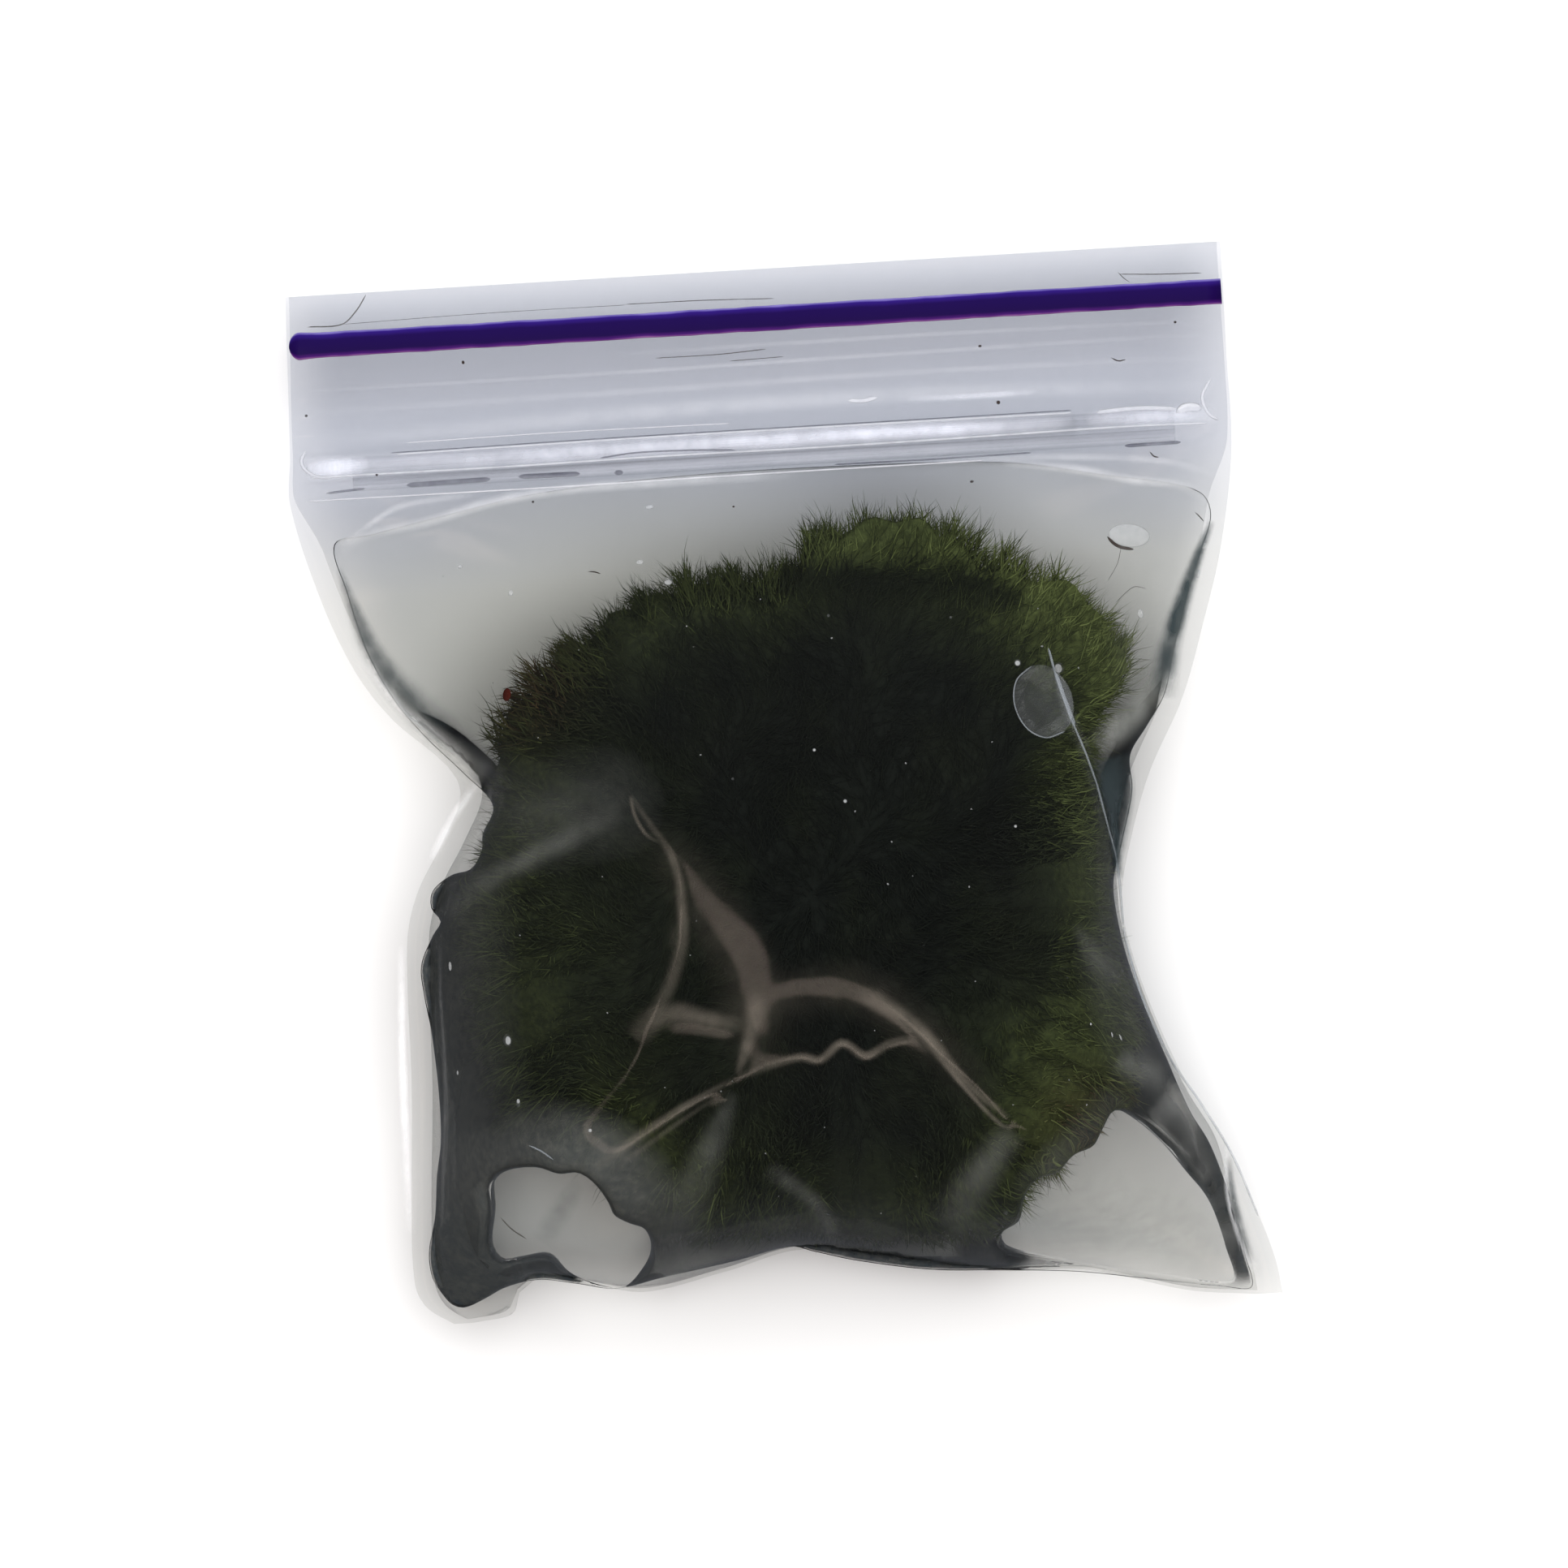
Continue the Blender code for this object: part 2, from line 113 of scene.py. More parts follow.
# Columns and rows of the film's grid: how many lie in each stretch, closest where the creases are.
COLUMN_STRETCHES = rows("0 22, 0.27 124, 0.86 26, 1 0")
ROW_STRETCHES = ((FOLD_Y + FOLD_WIDTH, 8), *rows("-37 152, 3 48, 26 32, 30 48, 37 14"), (LIP_Y, 0))
BAND_RIBS = (31.7, 33.2, 34.6, 36.0)  # fine ridges that run along the lip
RIB_HEIGHT, RIB_WIDTH = 0.05, 0.16
CREASE_ROOM = 6  # a crease reaches this many of its widths to each side

# Creases of the front wall: height, width, the shares over which they fade in and out, and their line.
# A step is higher on the left of its line, seen in the order of its points: where the flat top falls to the left,
# along the arc at its lower edge, and at the left waist.
STEPS = strokes("""
    0.44 2.1 0.05 0.12: -11.4 1, -10.4 -2, -8.8 -5, -6.2 -8, -3.9 -11, -2.8 -14.3, -3.2 -17.6, -4.7 -22;
    0.14 0.95 0.06 0.35: -5 -18.4, -3.1 -16.4, -0.7 -15.3, 1.6 -15.1, 4.3 -15.5, 7.4 -17.1, 10.4 -19.6,
        12.4 -22.1, 15 -24.5, 17 -27;
    0.4 1.6 0.3 0.1: -24 -5.4, -19.5 -4.3, -16.1 -3, -13.4 -1.2, -11.8 0.2""")
# Ridges: beside the steps, the wavy crease below them with the long one that runs on to the left, soft folds near
# the bottom, the left waist and the right corner, and tension folds that fan out under the zip's ends.
RIDGES = strokes("""
    0.06 0.36 0.04 0.2: -11.7 0.5, -10.3 -1.6, -9.4 -3.2, -8.5 -5.6, -8.3 -8.1, -8.4 -10.8, -9.2 -13.4,
        -10.4 -15.7, -12.4 -18.4;
    0.22 1.1 0.3 0.3: -11.8 -16.8, -10 -17, -8.1 -17.3, -5.2 -17.9, -3.5 -17.2;
    0.11 0.42 0.4 0.03: 5 -15.8, 7.6 -17.2, 10 -19.4, 12 -21.8, 14.6 -24.4, 16.6 -27;
    0.05 0.34 0.05 0.15: -4.9 -22.3, -3.4 -21.7, -1.7 -21.2, 0.4 -20.8, 1.9 -21.2, 3.7 -19.9, 5.5 -21.1,
        7.4 -20.3, 9.1 -20.1, 10.3 -20.9;
    0.06 0.36 0.05 0.3: -4.7 -22.1, -7.5 -23.5, -9.5 -24.5, -13.6 -26.9, -17.4 -29.3;
    0.5 1.3 0.3 0.4: 16.6 -27.2, 14.3 -29.9, 12.5 -32.5, 10.7 -35.6;
    -0.3 0.35 0.15 0.5: 16.4 -27.8, 18 -28.4, 20 -29.3, 22.4 -31.2;
    0.45 1.1 0.4 0.3: -3.9 -28.8, -1.9 -30, 0.6 -32, 1.8 -34.3, 2.3 -36.8;
    0.35 0.9 0.1 0.5: -5 -22.8, -6.6 -26, -8.6 -30, -9.6 -34;
    0.5 1 0.3 0.5: -28.8 -9.2, -27 -7.9, -24.8 -6.4, -22.9 -4.6, -19 -3;
    -0.28 0.8 0.3 0.1: -20 4.6, -17.1 3.7, -13.9 2.3, -11.9 0.6;
    0.34 0.7 0.1 0.3: -36 23.4, -29 24.9, -22.4 25.9, -15 26.5;
    0.22 0.5 0.2 0.3: -34 20.6, -28 22.9, -21 24.6;
    0.34 0.7 0.3 0.1: 18.5 26.4, 26.5 24.5, 31.7 23.5, 36.3 22.8;
    0.22 0.5 0.3 0.2: 22 26.6, 29 25.6, 36 25.4""")
# The sharp pleat beside the ball: the front wall drops to the right of this line.
PLEAT = rows("21.4 13.4, 22.2 10.4, 22.7 8.1, 23.6 4.85, 24.4 2.7, 25.4 -0.5, 26.2 -4.1, 26.9 -7.3, 27.1 -12.2")
PLEAT_DROP, PLEAT_WIDTH, PLEAT_REACH = 3.4, 0.5, 7.0
PLEAT_FADES = (0.5, 0.15)  # the shares of its line over which it fades in and out
RELIEF_FADE = 2.5  # how quickly creases grow where the wall leaves its seams

# ---------------------------------------------------------------- water
WATER_GAP = 0.18
WATER_RIM = 0.6  # the water rounds off over this distance
WATER_IOR = 1.2  # lower than real water, so that its curved sides don't turn into mirrors
RIM_SPACING, RIM_OFFSETS, RIM_CLEAR = 0.45, (0.1, 0.28, 0.6), 0.9  # its points along the rim and beside it
WATER_SPACINGS = (0.36, 0.72)  # between its other points, under the creases and elsewhere
CREASED = ((-14.0, -37.0), (20.0, 3.0))  # corners of the creased part
WATER_OUTLINE = rows("""
    -35 22.6, -34.2 18.6, -32.8 13.6, -30.7 9.4, -28.4 6.4, -25.6 3.4, -23.3 0.6, -24.3 -1.7, -24.4 -2.9, -25.4 -4.4,
    -27 -4.8, -28.6 -6, -28.8 -7.4, -28.1 -8.5, -28.8 -9.6, -29.9 -12, -29.8 -14.5, -29.4 -17.5, -29.1 -22.9,
    -29.2 -26.4, -29.7 -29.1, -30.1 -32.5, -30.8 -35.3, -30.7 -37.4, -30 -38.8, -29.2 -39.8, -28.2 -40.1, -26.6 -39.5,
    -24.7 -38.6, -22 -38.2, -19 -38.7, -15.8 -39.3, -12 -38.6, -6 -37.6, -1.4 -36.7, 0.4 -37.2, 4 -38.2, 10 -39.3,
    16 -39.7, 22 -40.2, 28 -41.2, 33.6 -42.1, 36 -42.3, 35.6 -39.6, 35 -36.2, 34.2 -33.4, 33.1 -30.2, 31.6 -27.4,
    29.95 -23, 28.5 -19, 27.3 -15, 26.65 -11.5, 26.5 -8.6, 27.4 -5.4, 28.5 -1.2, 28.5 1.6, 30 3.9, 31.6 6.4, 32.6 10,
    33.9 14.1, 35.2 17.6, 36.3 20.6, 35.8 22.4, 33.6 23.4, 28 24.5, 20 26, 8 26.5, -6 26.5, -18 25.8, -26 24.4,
    -32 23.2""")
POCKETS = (
    rows("""
        -25.1 -32.1, -25 -29.8, -23.7 -28.8, -21.3 -28.6, -19.5 -29.2, -17.9 -29.2, -16.7 -30.2, -15.8 -31.7,
        -15.4 -32.8, -14.2 -33.6, -13 -34.2, -12.7 -36.1, -13.6 -37.8, -15.2 -39.2, -17.4 -38.8, -19.4 -37.7, -21 -36,
        -23.4 -36.1, -24.8 -36.2, -25.5 -35"""),
    rows("""
        25.3 -26.9, 24.2 -28.4, 23.4 -29.6, 21.8 -30.2, 20.3 -31.6, 18.8 -31.9, 17.8 -33.2, 17.2 -35.4, 15.8 -36.4,
        16.2 -37.6, 19.2 -38.6, 22.7 -39.5, 29 -40.8, 34.4 -41.6, 34 -38.8, 33.2 -35.9, 32.4 -34.2, 31.2 -32.6,
        29.2 -29.9, 26.9 -27.7"""),
)
# Bubbles against the front wall: place, half-widths across, along and down, and turn in degrees.
BUBBLES = rows("""
    21.5 6.3 2.4 3 0.55 15, 22.9 8.9 0.42 0.5 0.4 0, 19.6 9.5 0.3 0.3 0.3 0, 29.5 19.4 1.65 0.95 0.45 -8,
    30 13 0.3 0.42 0.3 0, -22.9 -18.2 0.36 0.5 0.36 0, -22.3 -23.2 0.2 0.28 0.2 0, -16.7 -25.5 0.24 0.24 0.24 0,
    -8 17.9 0.4 0.3 0.3 0, 2.9 3.5 0.16 0.16 0.16 0, 4.7 14.2 0.14 0.14 0.14 0, 14.5 13.5 0.12 0.12 0.12 0,
    5.1 -0.7 0.2 0.2 0.2 0, 16 -34.3 0.2 0.2 0.2 0, -3.7 1.6 0.13 0.13 0.13 0""")
BUBBLE_DUST = 46
LARGE, LARGE_BALL, SMALL_BALL = 0.25, (14, 28), (6, 9)  # rings and segments, finer on a larger bubble
BUBBLE_DEPTH = 0.16

# ---------------------------------------------------------------- zip, lip and specks
BEAD_Y, BEAD_LEFT, BEAD_RIGHT, BEAD_LIFT = 38.9, -37.8, 38.3, 0.3
BEAD_SIZE, BLOB_SIZE, BLOB = (1.03, 0.2), (0.14, 0.1), 0.9  # half width and half thickness, and the blob's length
BEAD_STOPS, BEAD_CORNERS = 60, 20
# Strokes: half width, half thickness and points in plan.
ZIP_SHADES = strokes("""
    0.1 0.04: -35.4 26.75, -32.2 26.95;
    0.2 0.05: -28.8 27, -25 27.05, -22 27.1;
    0.2 0.05: -19.7 27.15, -14.7 27.1;
    0.2 0.05: -11.9 27, -11.2 27;
    0.14 0.05: 29.6 26.7, 34.2 26.75;
    0.07 0.04: -13 28.3, -10 28.55, -6 28.5, -2 28.3;
    0.05 0.03: -30 29.75, -10 29.9, 10 29.9, 25.5 29.9;
    0.07 0.03: 6 26.6, 14 26.55, 22 26.6""")
# Painted highlights: white lines and marks along the zip and at its ends.
ZIP_GLINTS = strokes("""
    0.1 0.05: -36.6 28.1, -20 28.05, -8 28.15, 4 28.1, 14 28.15, 30 28.3, 36.4 28.2;
    0.09 0.04: -29.6 29.6, -10 29.75, 6 29.75, 25.5 29.7;
    0.08 0.04: -37 26.2, -20 26.1, 0 26.2, 18 26.2;
    0.2 0.06: 27.5 29.6, 31 29.75, 34 29.5;
    0.14 0.06: -36.9 30.3, -37.3 29.6, -37.1 28.9, -36.2 28.2, -35 28;
    0.4 0.1: 34 29.2, 35 29.6, 36.1 29.4;
    0.14 0.06: 37 31.8, 36.2 30.4, 36.6 29, 37.4 28.4;
    0.06 0.03: -28.7 30.5, -16 30.6, -2.3 30.5;
    0.18 0.06: 7.4 31.8, 8.6 31.7, 9.8 31.9""")
# Painted shade: thin dark lines along creases of the lip and of the film low on the left.
FILM_LINE_SHADES = strokes("""
    0.05 0.03: -36.2 40.45, -33.4 40.5, -32.2 41.5, -31.3 42.8;
    0.035 0.02: -10.2 40.75, -4 40.7, 1.9 40.5;
    0.02 0.02: -33.3 40.5, -22 40.7, -10.2 40.7;
    0.04 0.03: 30.1 40.8, 33.4 40.6, 36.8 40.5;
    0.035 0.03: 30 41, 30.4 40.5, 30.9 40.1;
    0.035 0.02: -8 36.2, -3 36.2, 1 36.4;
    0.03 0.02: -2 35.6, 2.4 35.7;
    0.05 0.03: -24.4 -32.4, -23.6 -33.4, -22.5 -34.3""")
# Specks: place, half-widths across, along and down, and turn in degrees.
SPECKS = rows("""
    -23.7 36.8 0.12 0.16 0.05 20, 18.4 35.6 0.14 0.1 0.05 0, 17 24.5 0.16 0.11 0.05 10, 34.4 36.6 0.12 0.1 0.05 0,
    -36.7 33.2 0.12 0.12 0.05 0, 19.6 30.9 0.16 0.16 0.05 0, -31.2 28 0.1 0.1 0.05 0, -18.6 25 0.11 0.1 0.05 0,
    -2.4 23.6 0.1 0.08 0.05 0, 5.1 39 0.14 0.1 0.05 0""")
# Painted highlights along the pleat's folded edge, and on the doubled film beside it.
FOLD_EDGE_HIGHLIGHTS = strokes("""
    0.1 0.05: 22.2 10.6, 22.7 8.1, 23.6 4.85, 24.4 2.7, 25.4 -0.5, 26.2 -4.1, 26.9 -7.3, 27.1 -12.2;
    0.2 0.05: 22.6 8.6, 23.2 6.4, 23.9 4.2;
    0.06 0.04: 20.7 9.2, 19.4 8.1, 19.1 6.2, 19.9 4.3, 21.4 3.4, 23 3.8;
    0.07 0.04: -21.6 -26.5, -20.6 -27, -19.7 -27.7;
    0.09 0.05: 27.1 -12.2, 27.3 -13.8, 28.2 -18, 30.2 -23, 32.6 -27, 35 -31.5, 36.8 -36.5""")
# Soft streaks: half width at the first and at the last point, how strong they are, and points in plan.
CREASE_LIGHTS = strokes("""
    0.26 0.8 0.22: -11.9 0.9, -11 -0.7, -10 -2.3, -9.2 -3.6, -8.5 -5.6, -8.3 -8.1, -8.4 -10.8, -9.2 -13.4,
        -10.4 -15.7, -11.6 -17.6;
    0.2 0.2 0.3: -11.9 0.9, -11.6 -0.9, -10.8 -2.4, -9.8 -3.1;
    1.2 0.8 0.26: -12.8 -18.6, -11 -17, -9 -16.7, -6.6 -17.4, -3.8 -18;
    1.3 0.3 0.26: -2.8 -15.2, -3.2 -17.8, -4 -20, -4.8 -21.9;
    0.42 0.46 0.3: -4.8 -22, -3.4 -21.6, -1.7 -21.1, 0.4 -20.7, 1.9 -21, 3.7 -19.8, 5.5 -20.9, 7.4 -20.1,
        9.1 -19.9, 10.6 -21;
    0.3 0.6 0.22: -4.8 -22, -7.5 -23.3, -9.5 -24.3, -13.6 -26.7, -16.9 -28.9;
    0.2 0.4 0.1: -5.4 -22.9, -8.4 -24.6, -12.6 -27.2, -15.6 -29.2;
    1 0.32 0.36: 4.6 -15.6, 6.4 -16.5, 8.4 -17.9, 10.4 -19.7, 13.2 -23.4, 16.6 -26.6;
    2.4 3.2 0.05: -11 -1.5, -7 -7, -4 -13, -3 -18, -3.4 -22;
    2.6 2.2 0.045: -7 -17, 4.6 -15.6, 10.4 -19.7, 15.6 -25.6;
    0.25 0.24 0.3: 11.1 -21.1, 13.4 -24.2, 16.1 -27.2, 16.9 -27.2""")
# Painted light and shade: grey streaks that lighten soft folds over the dark moss, and wide ones that dim the lower
# right pocket and the right side.
SOFT_LIGHT_AND_SHADE = strokes("""
    1.4 2.2 0.34: 17 -27.4, 14.8 -30, 12.9 -32.8, 11.6 -35.8;
    1 0.7 0.26: -3 -29.4, -1.4 -30.6, 0.8 -32.6, 1.8 -34.6, 2.2 -36.8;
    0.6 2.8 0.22: -5 -23, -6.4 -26, -8.4 -30, -10 -34.4;
    1.1 1.2 0.26: -27.3 -8.3, -24.4 -5.6, -20.4 -3.8, -16.8 -2.2, -12.6 -0.2;
    3.2 1.8 0.1: -22 -1.4, -18 0, -13.6 0.8;
    0.4 1.9 0.22: 22.7 -11.6, 24.2 -14, 26.1 -16.8;
    0.5 1.3 1.5: -31.2 10.8, -29.2 8.2, -26.6 5.6, -23.6 2.8;
    1.4 1.4 0.45: 25.6 -22.2, 27.6 -23.6, 29.6 -24.8;
    1.5 0.8 0.12: 27.2 -21.6, 29.4 -25.4, 32.2 -30, 33.8 -34;
    1.4 1.3 1.1: 31.8 8.2, 28.9 4.9, 25.6 2.2;
    6 3.6 0.5: 18 -34.6, 25 -35.6, 34.6 -38.6;
    5 3 0.16: 31 20, 31 12, 29.6 5""")
FILM_GLINTS = strokes("""
    0.3 0.4 0.28: -34.6 22.2, -31.6 24.2, -29.3 25.3, -23.1 26;
    0.5 0.55 0.4: -34.8 22, -32 23.2, -27.7 23.8, -21.3 25.3, -14.2 25.9, 2.8 26;
    0.45 0.5 0.4: 19.1 26, 25.6 25, 30.3 23.8, 34 23.2, 36.4 21.6;
    0.35 0.4 0.25: 14 26.4, 26 26, 33 25.2, 37 24;
    0.9 0.8 0.2: -37.4 31, -28 31.2, -10 31.8, 12 32, 37.6 31.2;
    0.4 0.3 0.12: -37.4 33.4, -10 33.6, 12 33.8, 37.6 33.6;
    0.2 0.25 0.15: -37.2 35.2, -12 35.2, 14 35.4, 37.6 35.5;
    0.25 0.25 0.12: -12 36.7, 14 36.8, 37 36.6;
    0.22 0.3 0.7: 34.6 -30.4, 34.3 -34.1, 35.2 -38.4, 36.4 -41.6;
    0.6 0.4 0.5: -24.8 3.6, -26.4 5.6, -30.4 9.2, -33.6 13.6;
    0.4 0.5 0.6: -24.4 2.6, -26.6 -0.2, -28.6 -3.6;
    0.35 0.45 0.7: -31.4 -10, -31.9 -20, -32.2 -34""")
# Painted shade: dark streaks along the water's steep side edges and beside the pleat.
EDGE_SHADE_STREAKS = strokes("""
    0.35 1.9 1: -34.8 20.8, -33.8 17.6, -32.1 13.1, -29.4 9.3, -26.6 6.2;
    0.9 1.2 0.22: -17.6 -29.4, -19.6 -32.2, -21.4 -34.8;
    0.35 1.3 1.8: 36.4 20.3, 35.1 17.6, 33.6 14, 32.2 10.1, 31.3 6;
    1.9 0.3 1.6: 26.7 1.7, 27.3 -1.6, 26.9 -7.8;
    0.7 0.4 1.6: 26 0.6, 26.6 -3.4, 27 -8.4;
    0.35 0.5 0.9: 34.6 -31.4, 34.9 -35.2, 36 -40.4""")
# Painted highlights: white streaks along the zip's band.
ZIP_BAND_HIGHLIGHTS = strokes("""
    1 0.8 1.2: -37 28.85, -34.6 28.8, -31.6 28.9;
    0.95 0.9 0.8: -37 28.9, -20 28.9, 0 29, 25.8 28.95;
    0.7 0.7 0.7: -4 28.9, 6 29, 25.8 28.9;
    0.9 0.8 0.8: 26.4 29.1, 37.2 28.9;
    0.3 0.3 0.6: 12 31.6, 18 31.55, 23 31.6;
    0.5 0.5 0.3: -37.2 27, -20 27.2, 10 27.3, 37 27.2""")
# White specks, and painted reflections that whiten the bubbles, against the front wall, like the specks above.
PALE_SPECKS_AND_GLINTS = rows("""
    29.5 19.4 1.7 0.95 0.2 -8, -9.2 24 0.32 0.16 0.1 5, -10.2 19.5 0.28 0.18 0.1 0, -8 17.7 0.3 0.2 0.1 0,
    -24.8 20.1 0.22 0.16 0.1 0, -20.8 17.7 0.2 0.24 0.1 0, 30 13 0.24 0.36 0.1 0, 22.9 8.9 0.3 0.36 0.1 0,
    35 16 0.14 0.4 0.08 -15, -27.4 -12.1 0.12 0.38 0.06 0, -22.9 -18.2 0.22 0.36 0.08 0, -22.3 -23 0.13 0.18 0.06 0,
    -16.6 -25.5 0.14 0.14 0.06 0, -27.3 -20.7 0.07 0.18 0.05 0, 19.6 9.5 0.22 0.22 0.06 0, 2.9 3.5 0.12 0.12 0.05 0,
    5.1 -0.7 0.14 0.14 0.05 0, 18.5 -3.5 0.12 0.12 0.05 0, 26 -20.9 0.07 0.28 0.05 20, 25.3 -20.6 0.06 0.22 0.05 10,
    23.6 -19.6 0.08 0.1 0.05 0""")
HAIRS = strokes("""
    0.13 0.06: 27.7 19.4, 28.1 18.9, 28.7 18.5, 29.8 18.25;
    0.05 0.05: -14.4 19, -13.9 18.95, -13.4 18.75;
    0.05 0.05: 35 21, 35.3 20.7, 35.7 20.2;
    0.06 0.05: 31.6 26.1, 31.9 25.7, 32.3 25.6;
    0.05 0.04: 29 34, 29.6 33.7, 30.2 33.8;
    0.018 0.018: 27.5 15.8, 28.4 17.2, 28.8 18.6;
    0.018 0.018: 28 14, 29.6 15.2, 30.6 15""")
SEED = (-21.4, 9.4, 0.33, 0.52, 0.33, -10)
SPECK_DEPTH, PALE_DEPTH, SEED_DEPTH = 0.01, FILM + 0.02, 0.5  # below the front wall's outside

# ---------------------------------------------------------------- silt and painted shade
# Loose dark moss that has settled on the back wall, laid on as painted shade of the deep chambers: half width, how
# dense it is, and its middle line.
SILT_AND_SHADE = strokes("""
    7 0.97: -26 -3, -27 -7, -28 -12, -28 -18, -28.6 -26, -29 -32, -28.6 -38;
    4.6 0.94: -28.6 -38, -24 -38.5, -18 -38, -13 -38.5, -6 -36.5, 0 -36.5;
    4.4 0.85: 0 -37, 6 -38, 14 -38;
    5 0.72: -25 -20, -21 -27, -17 -31;
    3.4 0.8: 26.6 -14, 28.8 -22, 31.5 -28, 34 -33, 35.2 -39;
    4 0.7: 26 -16, 24 -24, 21 -29, 16 -34;
    2.2 0.6: 26.5 -3, 27.5 1, 28.5 4""")
# A pale patchy layer that hangs under the front wall, in the same way.
PALE_HAZE = strokes("""
    8 0.34: -28.4 -6, -28.6 -14, -28.4 -22, -28 -30, -27 -37;
    6.4 1: -26 -29, -20 -28.6, -16.4 -30, -13.4 -35;
    4 0.26: 25.8 -14, 26.8 -19, 28.8 -25, 31.4 -30;
    3 0.25: 25 -27, 19 -32.4;
    6 0.14: -26 -2, -20 -0.6, -14 0.2""")
HAZE_DEPTH, HAZE_THICKNESS = 0.04, 0.06
SILT_AND_SHADE_GAP, SILT_AND_SHADE_LEAST, SILT_AND_SHADE_THICKNESS = 0.15, 0.05, 1.2
LEAST_COVER, COVER_RIM = 0.02, 0.15  # thinner than this, or nearer to the water's rim, there is none

# ---------------------------------------------------------------- moss
# Tips of the fibres from above, all round the ball.
MOSS_TIPS = rows("""
    -21.2 9.5, -16.5 12.9, -11.7 16.3, -7 18.2, -2.6 18.4, 1.3 18.8, 3.8 21.3, 7.8 22.4, 13.8 22.2, 17.7 20.5,
    20.2 19, 23.4 17.2, 26 16, 27.2 13.6, 29.6 10.8, 28.8 8.2, 26.7 5.7, 25.6 3.8, 24.6 -0.1, 25.6 -12.9, 26.4 -19.6,
    26.4 -22.1, 25.5 -25.3, 23.6 -28.5, 20.5 -31.6, 17.3 -34.4, 14.9 -35.8, 6.9 -36.4, 0.3 -35.6, -6.2 -34.4,
    -9.4 -33.6, -15.2 -31.5, -17.7 -28.7, -21.5 -25.8, -24.4 -19.7, -25.4 -13, -26 -7.7, -24.1 -2.5, -22.3 2.7""")
# Where the ball's inside is greener: place, reach along x and y, and how much.
MOSS_PALER = rows("""
    -18 -10 10 16 0.24, -10 -28 10 8 0.22, 19 -22 8 9 0.3, 21 10 6 8 0.14, 8 20 9 4 0.1, 4 -33 12 4 0.06""")
# Painted shade along the furrow under the top lobe: its line, width and how much it darkens.
FURROW_SHADE_LINE = rows("1.8 17.2, 10.7 16.4, 15.6 15.9, 19 14.6")  # a dark furrow under the top lobe
FURROW_SHADE_WIDTH, FURROW_SHADE_DEPTH = 1.3, 0.7
MOSS_COVER = 1.15  # depth of the core below the film
FIBRE_COVER = 0.42  # least depth of a fibre's axis below the film
# How green the fringe is by its angle, from the right and counter-clockwise, brighter to the upper right as painted
# light.
FRINGE_GREEN_AND_LIGHT = rows("""
    0 0.6, 0.45 0.88, 0.95 0.74, 1.5 0.52, 2.1 0.38, 2.8 0.34, 3.6 0.3, 4.2 0.34, 4.7 0.36, 5.2 0.5, 5.7 0.64,
    6.283 0.6""")
# Where fibres are withered: place, reach along x and y, and how much.
WITHERED = rows("-20.5 10.5 4 4 0.6, 22.5 -28 3 3.5 0.7")
FRINGE, TUFTS = 3.0, 330
CORE_INSET, CORE_RINGS, CORE_SPOKES = 1.7, 60, 220
PELT_FIBRES, UNDER_FIBRES, FRINGE_FIBRES, WISP_FIBRES = 9500, 3500, 8500, 3200
# Ranges of the fibres' length, thickness and tone, and how much their sides bend and their tips rise at random.
PELT_LENGTH, PELT_WIDTH, PELT_TONES, PELT_BEND, PELT_RISE = (1.4, 3.4), (0.035, 0.06), (0.6, 1.15), 0.16, 0.15
FRINGE_LENGTH, FRINGE_WIDTH, FRINGE_TONES = (1.6, 4.2), (0.035, 0.065), (0.55, 1.3)
FRINGE_BEND, FRINGE_RISE = 0.2, 0.6
PELT_STAND, PELT_SPREAD, PELT_SWIRL = (-0.1, 0.55), 0.97, 1.1  # height over the core, reach, and radians of turn
MOSS_LUMPS = rows("0.5 9 21, 0.2 3.5 22")  # height, size and seed
MOSS_SWELL = (2.6, 0.55)  # powers of the ball's section
WAVES, WAVE_LENGTHS, WAVE_HEIGHT = 7, (0.6, 1.5), 3.2  # the waves that cross in smooth noise
FIBRE_STOPS = (0.0, 0.38, 0.72, 1.0)  # shares of a fibre's length at which it has a ring, and the last at its tip
FIBRE_RINGS = (1.0, 0.85, 0.55)  # how thick the rings are


# ---------------------------------------------------------------- curves and surfaces
def curve(points, at):
    """Smooth curve through (position, value) points, held level past both ends."""
    x, y = np.array(points, float).T
    slope = np.empty_like(y)
    slope[1:-1] = (y[2:] - y[:-2]) / (x[2:] - x[:-2])
    slope[0] = (y[1] - y[0]) / (x[1] - x[0])
    slope[-1] = (y[-1] - y[-2]) / (x[-1] - x[-2])
    at = np.clip(at, x[0], x[-1])
    i = np.clip(np.searchsorted(x, at, side="right") - 1, 0, len(x) - 2)
    span = x[i + 1] - x[i]
    t = (at - x[i]) / span
    return (
        (1 + 2 * t) * (1 - t) ** 2 * y[i]
        + t * (1 - t) ** 2 * span * slope[i]
        + t * t * (3 - 2 * t) * y[i + 1]
        + t * t * (t - 1) * span * slope[i + 1]
    )


def ease(t):
    """0 to 1 with a soft start and end."""
    t = np.clip(t, 0.0, 1.0)
    return t * t * (3 - 2 * t)


def smooth_line(points, spacing=0.4, closed=False):
    """Evenly spaced points on a smooth curve through the given ones."""
    points = np.array(points, float)
    if closed:
        points = np.vstack((points[-2:], points, points[:3]))
    travelled = np.concatenate(([0.0], np.cumsum(np.hypot(*np.diff(points, axis=0).T))))
    start, end = (travelled[2], travelled[-3]) if closed else (0.0, travelled[-1])
    at = np.linspace(start, end, max(int((end - start) / spacing), 6), endpoint=not closed)
    return np.column_stack([curve(np.column_stack((travelled, c)), at) for c in points.T])


